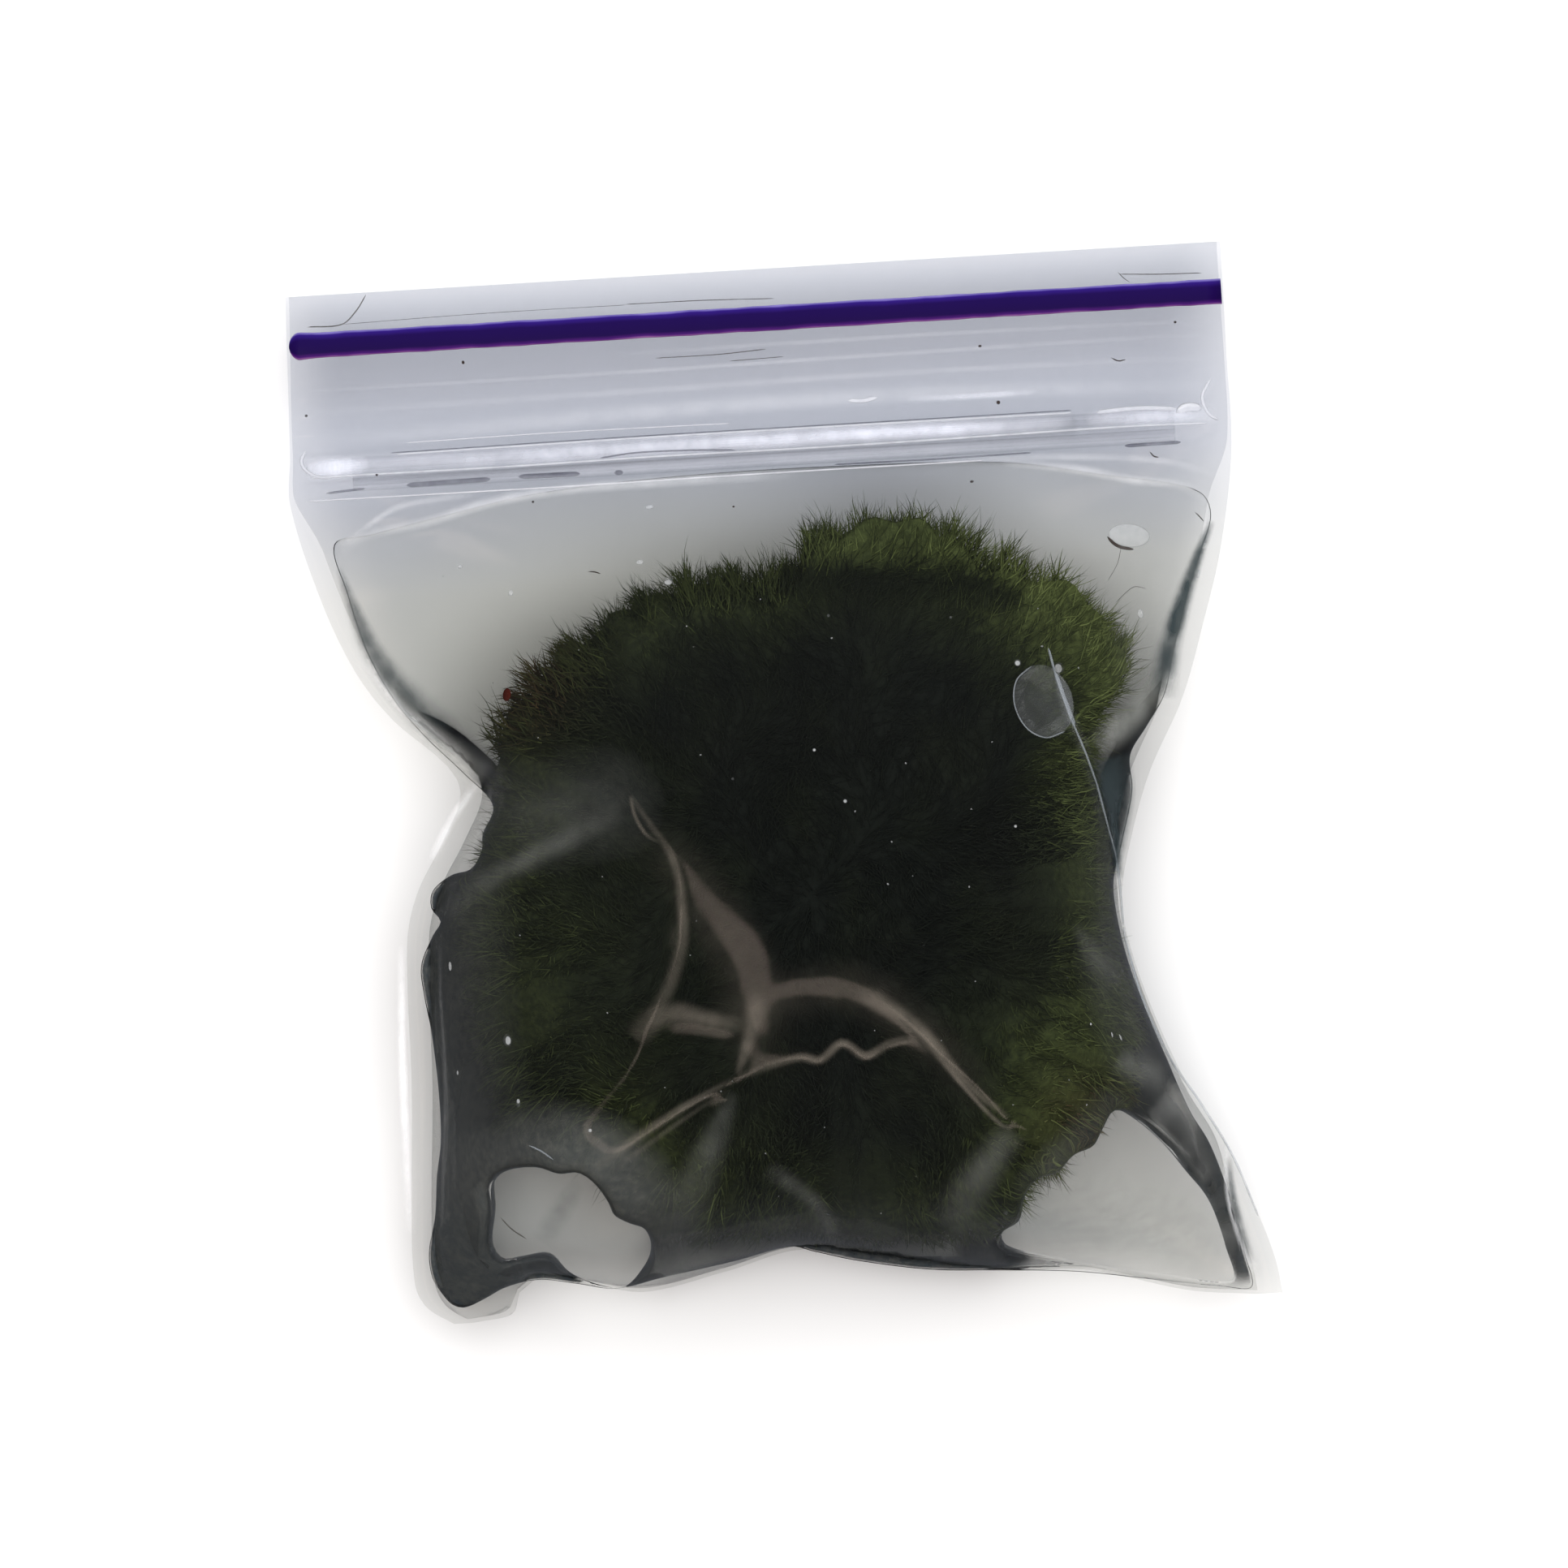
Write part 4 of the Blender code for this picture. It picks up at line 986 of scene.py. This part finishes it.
def make_core(material):
    """The matted body of the ball, under its fibres."""
    turn = np.arange(CORE_SPOKES) / CORE_SPOKES * math.tau
    ring = np.sin(np.arange(1, CORE_RINGS + 1) / CORE_RINGS * math.pi / 2)
    share, turn = ring[:, None], turn[None, :]
    ragged = 1 + 0.025 * np.sin(turn * 31 + 1.0) * np.sin(turn * 17) + 0.02 * np.sin(turn * 9 + 2.0)
    reach = (moss_reach(turn) - CORE_INSET) * ragged
    x, y = off_centre(share * reach, turn)
    upper, lower = moss_heights(x, y, share * np.ones_like(x), MOSS_COVER)
    upper[-1] = lower[-1] = (upper[-1] + lower[-1]) / 2
    centre = np.array([MOSS_CENTRE])
    tip = moss_heights(centre[:, 0], centre[:, 1], np.zeros(1), MOSS_COVER)
    points = np.concatenate((
        np.column_stack((x.ravel(), y.ravel(), upper.ravel())),
        np.column_stack((x[:-1].ravel(), y[:-1].ravel(), lower[:-1].ravel())),
        [(*MOSS_CENTRE, tip[0][0]), (*MOSS_CENTRE, tip[1][0])],
    ))
    top = np.arange(CORE_RINGS * CORE_SPOKES).reshape(CORE_RINGS, CORE_SPOKES)
    below = np.arange((CORE_RINGS - 1) * CORE_SPOKES).reshape(CORE_RINGS - 1, CORE_SPOKES) + top.size
    below = np.concatenate((below, top[-1:]))
    faces = []
    for numbers, pole in ((top, len(points) - 2), (below, len(points) - 1)):
        wrapped = np.concatenate((numbers, numbers[:, :1]), axis=1)
        faces += grid_faces(wrapped)
        faces += [[pole, wrapped[0, k], wrapped[0, k + 1]] for k in range(CORE_SPOKES)]
    core = new_piece("moss_core", points, faces, material, "moss", ("moss_ball",))
    set_value(core, "green_and_shade", green_and_shade_at(points[:, 0], points[:, 1]) * 0.85)
    set_value(core, "wither", wither_at(points[:, 0], points[:, 1]) * 0.5)


def make_fibres(name, roots, heading, length, width, bend, lift, green_and_shade, material):
    """Tapered three-sided filaments, kept inside the film."""
    count = len(roots)
    side = np.column_stack((-heading[:, 1], heading[:, 0]))
    centres = np.empty((count, len(FIBRE_STOPS), 3))
    for k, t in enumerate(FIBRE_STOPS):
        centres[:, k, :2] = roots[:, :2] + heading * (length * t)[:, None] + side * (bend * length * t * t)[:, None]
        centres[:, k, 2] = roots[:, 2] + lift * t
    x, y = centres[..., 0], centres[..., 1]
    ceiling = front_wall(x, y) - FILM - FIBRE_COVER
    bottom = back_wall(x, y) + FILM + FIBRE_COVER
    centres[..., 2] = np.maximum(np.minimum(centres[..., 2], ceiling), np.minimum(bottom, ceiling))
    travel = np.gradient(centres, axis=1)
    travel /= np.linalg.norm(travel, axis=2, keepdims=True) + 1e-9
    level = np.cross(travel, (0.0, 0.0, 1.0))
    level /= np.linalg.norm(level, axis=2, keepdims=True) + 1e-9
    upright = np.cross(level, travel)
    points = np.empty((count, 10, 3))
    for k, thin in enumerate(FIBRE_RINGS):
        for corner in range(3):
            turn = math.tau * corner / 3 + 0.5
            around = level[:, k] * math.cos(turn) + upright[:, k] * math.sin(turn)
            points[:, 3 * k + corner] = centres[:, k] + around * (width * thin)[:, None]
    points[:, 9] = centres[:, 3]
    pattern = [(2, 1, 0)]
    for k in (0, 3):
        pattern += [(k + c, k + (c + 1) % 3, k + 3 + (c + 1) % 3, k + 3 + c) for c in range(3)]
    pattern += [(6 + c, 6 + (c + 1) % 3, 9) for c in range(3)]
    faces = [[start + v for v in face] for start in range(0, count * 10, 10) for face in pattern]
    piece = new_piece(name, points.reshape(-1, 3), faces, material, "moss", outward=False)
    random = np.random.default_rng(count)
    wither = wither_at(roots[:, 0], roots[:, 1]) * random.uniform(0.2, 1.6, count)
    set_value(piece, "green_and_shade", np.repeat(green_and_shade, 10))
    set_value(piece, "wither", np.repeat(np.clip(wither, 0, 1), 10))


def make_pelt(name, seed, count, upper, material):
    """Filaments that lie over the ball's upper or lower side."""
    random = np.random.default_rng(seed)
    angle = random.uniform(0, math.tau, count)
    share = np.sqrt(random.uniform(0, 1, count)) * PELT_SPREAD
    reach = moss_reach(angle) - FRINGE * 0.5
    x, y = off_centre(share * reach, angle)
    top, low = moss_heights(x, y, share, MOSS_COVER)
    stand = random.uniform(*PELT_STAND, count)
    z = top + stand if upper else low - stand
    away = angle + (PELT_SWIRL * waviness(x, y, 14.0, 41) + random.normal(0, 0.5, count))
    heading = np.column_stack((np.cos(away), np.sin(away)))
    length = random.uniform(*PELT_LENGTH, count)
    end_top, end_low = moss_heights(
        x + heading[:, 0] * length, y + heading[:, 1] * length, np.minimum(share + length / reach, 1.0), MOSS_COVER)
    drop = (end_top - top) if upper else (end_low - low)
    green_and_shade = np.clip(green_and_shade_at(x, y) * random.uniform(*PELT_TONES, count) + random.normal(0, 0.02, count), 0, 1)
    make_fibres(
        name, np.column_stack((x, y, z)), heading, length, random.uniform(*PELT_WIDTH, count),
        random.normal(0, PELT_BEND, count), drop + random.normal(0, PELT_RISE, count), green_and_shade, material)


def make_fringe(name, seed, count, material, thin=1.0, stretch=1.0, beyond=0.0):
    """Filaments that stand out all round the ball's edge, in tufts."""
    random = np.random.default_rng(seed)
    tufts = random.uniform(0, math.tau, TUFTS)
    short = random.exponential(0.7, TUFTS)
    swing = random.normal(0, 0.28, TUFTS)
    tuft = random.integers(0, TUFTS, count)
    angle = tufts[tuft] + random.normal(0, 0.02, count)
    tip = moss_reach(angle) * (1 + 0.02 * np.sin(angle * 47) + 0.015 * np.sin(angle * 83 + 1)) + 0.5 - short[tuft]
    tip += beyond * random.uniform(0.2, 1.0, count)
    length = random.uniform(*FRINGE_LENGTH, count) * stretch
    start = tip - length * random.uniform(0.85, 1.15, count) - random.exponential(0.7, count)
    x, y = off_centre(start, angle)
    share = np.clip((start + 0.6) / (tip - FRINGE * 0.45), 0, 0.999)
    top, low = moss_heights(x, y, share, MOSS_COVER)
    height = random.beta(1.6, 1.6, count)
    z = low + (top - low) * height
    lean = angle + random.normal(0, 0.2, count) + swing[tuft] + 0.25 * np.sin(angle * 23)
    heading = np.column_stack((np.cos(lean), np.sin(lean)))
    ahead = green_and_shade_at(x + heading[:, 0] * 2, y + heading[:, 1] * 2)
    green_and_shade = np.clip(ahead * random.uniform(*FRINGE_TONES, count), 0, 1)
    make_fibres(
        name, np.column_stack((x, y, z)), heading, length, random.uniform(*FRINGE_WIDTH, count) * thin,
        random.normal(0, FRINGE_BEND, count), random.normal(0, FRINGE_RISE, count), green_and_shade, material)


# ---------------------------------------------------------------- materials
WHITE = (1.0, 1.0, 1.0, 1.0)


class Nodes:
    """Adds nodes to a tree. An input takes a value or another node's output."""

    def __init__(self, tree):
        self.tree = tree
        tree.nodes.clear()

    def fill(self, socket, value):
        if isinstance(value, bpy.types.NodeSocket):
            self.tree.links.new(value, socket)
        else:
            socket.default_value = value

    def add(self, kind, *values, take=0, **settings):
        """One of a new node's outputs. A capital marks the name of an input, else it is a property."""
        made = self.tree.nodes.new("ShaderNode" + kind)
        for key, value in settings.items():
            if key[0].isupper():
                self.fill(made.inputs[key.replace("_", " ")], value)
            else:
                setattr(made, key, value)
        for socket, value in zip(made.inputs, values):
            self.fill(socket, value)
        return made.outputs[take] if made.outputs else made

    def math(self, operation, *values):
        return self.add("Math", *values, operation=operation)

    def blend(self, share, first, second):
        """A colour between two others."""
        made = self.tree.nodes.new("ShaderNodeMix")
        made.data_type = "RGBA"
        for socket, value in zip((made.inputs[0], made.inputs[6], made.inputs[7]), (share, first, second)):
            self.fill(socket, value)
        return made.outputs[2]

    def ramp(self, value, stops):
        """A colour from (position, colour) stops."""
        made = self.tree.nodes.new("ShaderNodeValToRGB")
        self.fill(made.inputs[0], value)
        elements = made.color_ramp.elements
        while len(elements) < len(stops):
            elements.new(0.5)
        for element, (position, colour) in zip(elements, stops):
            element.position, element.color = position, (*colour, 1.0)
        return made.outputs[0]


class Look(Nodes):
    """A material that is being made."""

    def __init__(self, name):
        self.made = bpy.data.materials.new(name)
        self.made.use_nodes = True
        super().__init__(self.made.node_tree)
        self.output = self.tree.nodes.new("ShaderNodeOutputMaterial")

    def finish(self, surface, volume=None):
        self.fill(self.output.inputs["Surface"], surface)
        if volume:
            self.fill(self.output.inputs["Volume"], volume)
        return self.made

    def place(self):
        return self.add("TexCoord", take="Object")

    def noise(self, scale, detail, **settings):
        return self.add("TexNoise", Vector=self.place(), Scale=scale, Detail=detail, **settings)

    def between(self, value, start, end, low=0.0, high=1.0):
        """Maps start .. end to low .. high."""
        return self.add("MapRange", Value=value, From_Min=start, From_Max=end, To_Min=low, To_Max=high)

    def attribute(self, name):
        return self.add("Attribute", attribute_name=name, take="Fac")

    def bump(self, height, strength, distance):
        return self.add("Bump", Height=height, Strength=strength, Distance=distance)

    def clear(self, colour=WHITE):
        return self.add("BsdfTransparent", Color=colour)

    def matt(self, colour):
        return self.add("BsdfDiffuse", Color=colour)

    def mix(self, share, first, second):
        return self.add("MixShader", share, first, second)

    def sheen(self, straight_on, steep_gain, normal):
        """Share of light that a thin clear sheet mirrors, the same from both of its sides."""
        facing = self.add("LayerWeight", Blend=0.5, Normal=normal, take="Facing")
        return self.math("MULTIPLY_ADD", self.math("POWER", facing, 5.0), steep_gain, straight_on)


def film_material():
    """Clear film, a little bluer towards the lip."""
    look = Look("clear_film")
    relief = look.bump(look.noise(900.0, 3.0), 0.12, 0.0001)
    toward_lip = look.between(look.add("SeparateXYZ", look.place(), take="Y"), 0.018, 0.027)
    clear = look.clear(look.blend(toward_lip, (0.926, 0.927, 0.922, 1.0), (0.913, 0.919, 0.934, 1.0)))
    gloss = look.add("BsdfGlossy", Color=WHITE, Roughness=0.12, Normal=relief)
    return look.finish(look.mix(look.sheen(0.014, 0.4, relief), clear, gloss))


def water_material():
    """Water with a faint green tint, which lets the lamp's light straight through."""
    look = Look("water")
    bending = look.add("BsdfRefraction", Color=WHITE, Roughness=0.0, IOR=WATER_IOR)
    glass = look.add("BsdfGlass", Color=WHITE, Roughness=0.0, IOR=WATER_IOR)
    shadow = look.add("LightPath", take="Is Shadow Ray")
    return look.finish(
        look.mix(shadow, look.mix(0.6, bending, glass), look.clear()),
        look.add("VolumeAbsorption", Color=(0.66, 0.64, 0.45, 1.0), Density=8.0))


def moss_material(name, streaks):
    """Moss from nearly black to fresh green by its tone, which holds painted shade and light, and browner where it
    has withered.
    """
    look = Look(name)
    speckle = look.noise(streaks, 4.0, Roughness=0.6)
    fresh = look.math("MULTIPLY", look.attribute("green_and_shade"), look.between(speckle, 0.3, 0.7, 0.72, 1.2))
    green = look.ramp(fresh, (
        (0.0, (0.011, 0.013, 0.011)), (0.25, (0.024, 0.03, 0.016)), (0.6, (0.085, 0.106, 0.038)),
        (1.0, (0.2, 0.245, 0.085))))
    return look.finish(look.add(
        "BsdfPrincipled", Base_Color=look.blend(look.attribute("wither"), green, (0.1, 0.05, 0.03, 1.0)),
        Roughness=0.9, Specular_IOR_Level=0.15, Normal=look.bump(speckle, 0.5, 0.0004)))


def bubble_material():
    """Air against the film: clear, with a little matt white as painted reflection, and bright where its skin is
    steep.
    """
    look = Look("air_bubble")
    spread = look.between(look.noise(300.0, 2.0), 0.0, 1.0, 0.02, 0.08)
    # The matt white patches are painted reflection.
    body = look.mix(spread, look.clear(), look.matt((0.8, 0.84, 0.88, 1.0)))
    edge = look.sheen(0.03, 0.5, look.add("NewGeometry", take="Normal"))
    return look.finish(look.mix(edge, body, look.add("BsdfGlossy", Color=WHITE, Roughness=0.1)))


def layer_material(name, dark, light, share):
    """Specks on a clear ground, as dense as the piece's cover."""
    look = Look(name)
    specks = look.ramp(look.noise(1400.0, 4.0, Roughness=0.7), ((0.4, dark), (0.75, light)))
    dense = look.math("MULTIPLY", look.attribute("cover"), share)
    return look.finish(look.mix(dense, look.clear(), look.matt(specks)))


def rail_material():
    """The zip's rails: clear, with fine lines drawn along them."""
    look = Look("zip_rail")
    streaks = look.add("Mapping", Vector=look.place(), Scale=(60.0, 900.0, 900.0))
    relief = look.bump(look.add("TexNoise", Vector=streaks, Scale=1.0, Detail=3.0), 0.4, 0.0002)
    milky = look.add("BsdfPrincipled", Base_Color=(0.86, 0.87, 0.9, 1.0), Roughness=0.35, Normal=relief)
    body = look.mix(0.06, look.clear((0.985, 0.986, 0.99, 1.0)), milky)
    gloss = look.add("BsdfGlossy", Roughness=0.12, Normal=relief)
    return look.finish(look.mix(look.sheen(0.015, 0.3, relief), body, gloss))


def bead_material():
    """Indigo with a painted lavender highlight along its upper edge and a painted pink fringe of light along its
    lower one.
    """
    look = Look("indigo")
    cloud = look.noise(260.0, 3.0)
    shifted = look.math("MULTIPLY_ADD", cloud, 0.25, look.attribute("across"))
    # The pink and lavender stops at the ends are painted light on the bead's edges.
    colour = look.ramp(look.between(shifted, -0.875, 1.125), (
        (0.0, (0.26, 0.1, 0.3)), (0.07, (0.05, 0.006, 0.12)), (0.2, (0.009, 0.0015, 0.05)),
        (0.7, (0.01, 0.002, 0.062)), (0.9, (0.024, 0.008, 0.16)), (1.0, (0.24, 0.2, 0.55))))
    return look.finish(look.add(
        "BsdfPrincipled", Base_Color=colour, Roughness=0.38, Specular_IOR_Level=0.12,
        Normal=look.bump(cloud, 0.2, 0.0002)))


def veil_material(name, colour, share, covered=False):
    """A thin clouded layer: part clear, part matt, in small patches, and fading where its cover does."""
    look = Look(name)
    dense = look.between(look.noise(500.0, 3.0), 0.3, 0.7, share * 0.6, share * 1.2)
    if covered:
        dense = look.math("MULTIPLY", look.attribute("cover"), dense)
    return look.finish(look.mix(dense, look.clear(), look.matt((*colour, 1.0))))


def floor_material():
    look = Look("floor")
    return look.finish(look.matt((0.88, 0.88, 0.88, 1.0)))


# ---------------------------------------------------------------- stage
WINDOW_AZIMUTHS = (172, 192, 212, 232, 252, 272, 292)  # the soft window runs along an arc to the lower left
WINDOW_TILT = 23  # degrees from straight up
WINDOW_EDGES = (10, 2)  # degrees from that arc at which it starts and is full
LAMP_SIZE, LAMP_POWER, LAMP_PLACE = 1.2, 17.7, (0.08, 0.2, 0.97)
FLOOR_HALF, FLOOR_TOP = 2.0, -0.0002
FRAME_WIDTH, CAMERA_DISTANCE, CAMERA_TURN = 127.56, 800.0, -3.43  # the photograph's width at the bag, and its turn
CAMERA_PLACE, SENSOR = (0.34, 0.95, CAMERA_DISTANCE + 8.0), 36.0


def make_floor():
    mesh = bpy.data.meshes.new("floor")
    corners = [(x * FLOOR_HALF, y * FLOOR_HALF, FLOOR_TOP) for x, y in ((-1, -1), (1, -1), (1, 1), (-1, 1))]
    mesh.from_pydata(corners, [], [(0, 1, 2, 3)])
    mesh.materials.append(floor_material())
    floor = bpy.data.objects.new("floor", mesh)
    floor.visible_glossy = False
    bpy.context.scene.collection.objects.link(floor)


def make_world():
    """Dim above, pale round the horizon, with a warm soft window to the lower left."""
    world = bpy.data.worlds.new("studio")
    world.use_nodes = True
    bpy.context.scene.world = world
    sky = Nodes(world.node_tree)
    direction = sky.add("TexCoord", take="Generated")
    base = sky.ramp(sky.add("SeparateXYZ", direction, take="Z"), (
        (0.0, (0.12, 0.125, 0.14)), (0.3, (0.1, 0.105, 0.115)), (0.62, (0.09, 0.09, 0.1)),
        (0.9, (0.06, 0.065, 0.075)), (1.0, (0.05, 0.055, 0.065))))
    tilt = math.radians(WINDOW_TILT)
    nearest = None
    for azimuth in WINDOW_AZIMUTHS:
        turn = math.radians(azimuth)
        middle = math.cos(turn) * math.sin(tilt), math.sin(turn) * math.sin(tilt), math.cos(tilt)
        toward = sky.add("VectorMath", direction, middle, operation="DOT_PRODUCT", take="Value")
        nearest = toward if nearest is None else sky.math("MAXIMUM", nearest, toward)
    start, full = (math.cos(math.radians(edge)) for edge in WINDOW_EDGES)
    spread = sky.add(
        "MapRange", interpolation_type="SMOOTHSTEP", Value=nearest, From_Min=start, From_Max=full)
    light = sky.add("Background", Color=sky.blend(spread, base, (1.9, 1.56, 1.34, 1.0)))
    output = sky.tree.nodes.new("ShaderNodeOutputWorld")
    sky.fill(output.inputs["Surface"], light)


def make_light():
    light = bpy.data.lights.new("overhead", "AREA")
    light.shape = "SQUARE"
    light.size = LAMP_SIZE
    light.energy = LAMP_POWER
    lamp = bpy.data.objects.new("overhead", light)
    lamp.location = LAMP_PLACE
    lamp.rotation_euler = Vector(lamp.location).to_track_quat("Z", "Y").to_euler()
    lamp.visible_camera = lamp.visible_glossy = lamp.visible_transmission = False
    bpy.context.scene.collection.objects.link(lamp)


def make_camera():
    data = bpy.data.cameras.new("camera")
    data.sensor_width = SENSOR
    data.lens = SENSOR * CAMERA_DISTANCE / FRAME_WIDTH
    camera = bpy.data.objects.new("camera", data)
    camera.location = Vector(CAMERA_PLACE) * MM
    camera.rotation_euler = (0.0, 0.0, math.radians(CAMERA_TURN))
    bpy.context.scene.collection.objects.link(camera)
    bpy.context.scene.camera = camera


def render_settings():
    scene = bpy.context.scene
    scene.view_settings.view_transform = "Standard"
    cycles = scene.cycles
    cycles.use_denoising = True
    cycles.max_bounces = 8
    cycles.diffuse_bounces = 2
    cycles.glossy_bounces = 2
    cycles.transmission_bounces = 6
    cycles.transparent_max_bounces = 18
    cycles.sample_clamp_indirect = 4.0
    cycles.caustics_reflective = cycles.caustics_refractive = False


moss_skin = moss_material("moss_core", 1500.0)
moss_hair = moss_material("moss_fibre", 500.0)
make_film(film_material())
water_plan = water_domain()
make_water(*water_plan, water_material())
# The dark layer on the back wall: settled moss, and painted shade of the deep chambers.
make_layer("moss_silt_and_shade", water_plan, SILT_AND_SHADE, 1.9, silt_and_shade_levels,
           layer_material("moss_silt_and_shade", (0.034, 0.041, 0.047), (0.088, 0.09, 0.084), 1.0))
make_layer("pale_haze", water_plan, PALE_HAZE, 1.1, haze_levels,
           layer_material("pale_haze", (0.14, 0.15, 0.15), (0.24, 0.245, 0.23), 0.55))
make_core(moss_skin)
scale = 1.0  # share of the fibres that is made
for index in range(2):
    make_pelt(f"moss_pelt_{index + 1}", 100 + index, int(PELT_FIBRES * scale), True, moss_hair)
make_pelt("moss_pelt_under", 110, int(UNDER_FIBRES * scale), False, moss_hair)
for index in range(2):
    make_fringe(f"moss_fringe_{index + 1}", 200 + index, int(FRINGE_FIBRES * scale), moss_hair)
make_fringe("moss_wisps", 220, int(WISP_FIBRES * scale), moss_hair, 0.6, 1.25, 1.3)

rail = rail_material()
for name in ("zip_channel", "zip_rib"):
    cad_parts[name].data.materials.clear()
    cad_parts[name].data.materials.append(rail)
make_bead(bead_material())

for name, lines, height, *look in (
    ("zip_glints", ZIP_GLINTS, on_zip, "zip_glint_paint", (0.95, 0.95, 0.97), 0.6),
    ("zip_shades", ZIP_SHADES, on_zip, "zip_shade", (0.1, 0.1, 0.14), 0.4),
    ("film_line_shades", FILM_LINE_SHADES, on_film, "film_line_shade", (0.12, 0.11, 0.1), 0.7),
    ("fold_edge_highlights", FOLD_EDGE_HIGHLIGHTS, on_film, "fold_edge_highlight", (0.42, 0.46, 0.5), 0.36),
):
    new_piece(name, *tubes(lines, height), veil_material(*look), "clear_film")
for name, lines, height, colour, share in (
    ("crease_lights", CREASE_LIGHTS, on_film, (0.37, 0.325, 0.27), 0.42),
    ("soft_light_and_shade", SOFT_LIGHT_AND_SHADE, on_film, (0.34, 0.35, 0.33), 0.32),
    ("film_glints", FILM_GLINTS, on_film, (0.95, 0.95, 0.97), 0.5),
    ("edge_shade_streaks", EDGE_SHADE_STREAKS, on_film, (0.045, 0.06, 0.065), 0.6),
    ("zip_band_highlights", ZIP_BAND_HIGHLIGHTS, on_zip, (0.95, 0.95, 0.99), 0.5),
):
    make_streaks(name, lines, height, colour, share)
speck = veil_material("speck", (0.05, 0.035, 0.03), 0.8)
new_piece("hairs", *tubes(HAIRS, on_film), speck, "moss")
new_piece("specks", *blobs(SPECKS, SPECK_DEPTH), speck, "moss")
for name, table, *look in (
    ("pale_specks_and_glints", PALE_SPECKS_AND_GLINTS, "pale_speck_and_glint", (0.8, 0.82, 0.84), 0.4),
    # Tiny bubbles, drawn as pale matt specks: painted reflection.
    ("fine_bubble_glints", dust(), "fine_bubble_glint", (0.8, 0.82, 0.85), 0.2),
):
    new_piece(name, *blobs(table, PALE_DEPTH), veil_material(*look), "water")
new_piece("seed", *blobs((SEED,), SEED_DEPTH), veil_material("seed", (0.09, 0.014, 0.008), 1.0), "moss")
new_piece("air_bubbles", *blobs(BUBBLES, FILM + BUBBLE_DEPTH), bubble_material(), "water")

make_floor()
make_world()
make_light()
make_camera()
render_settings()
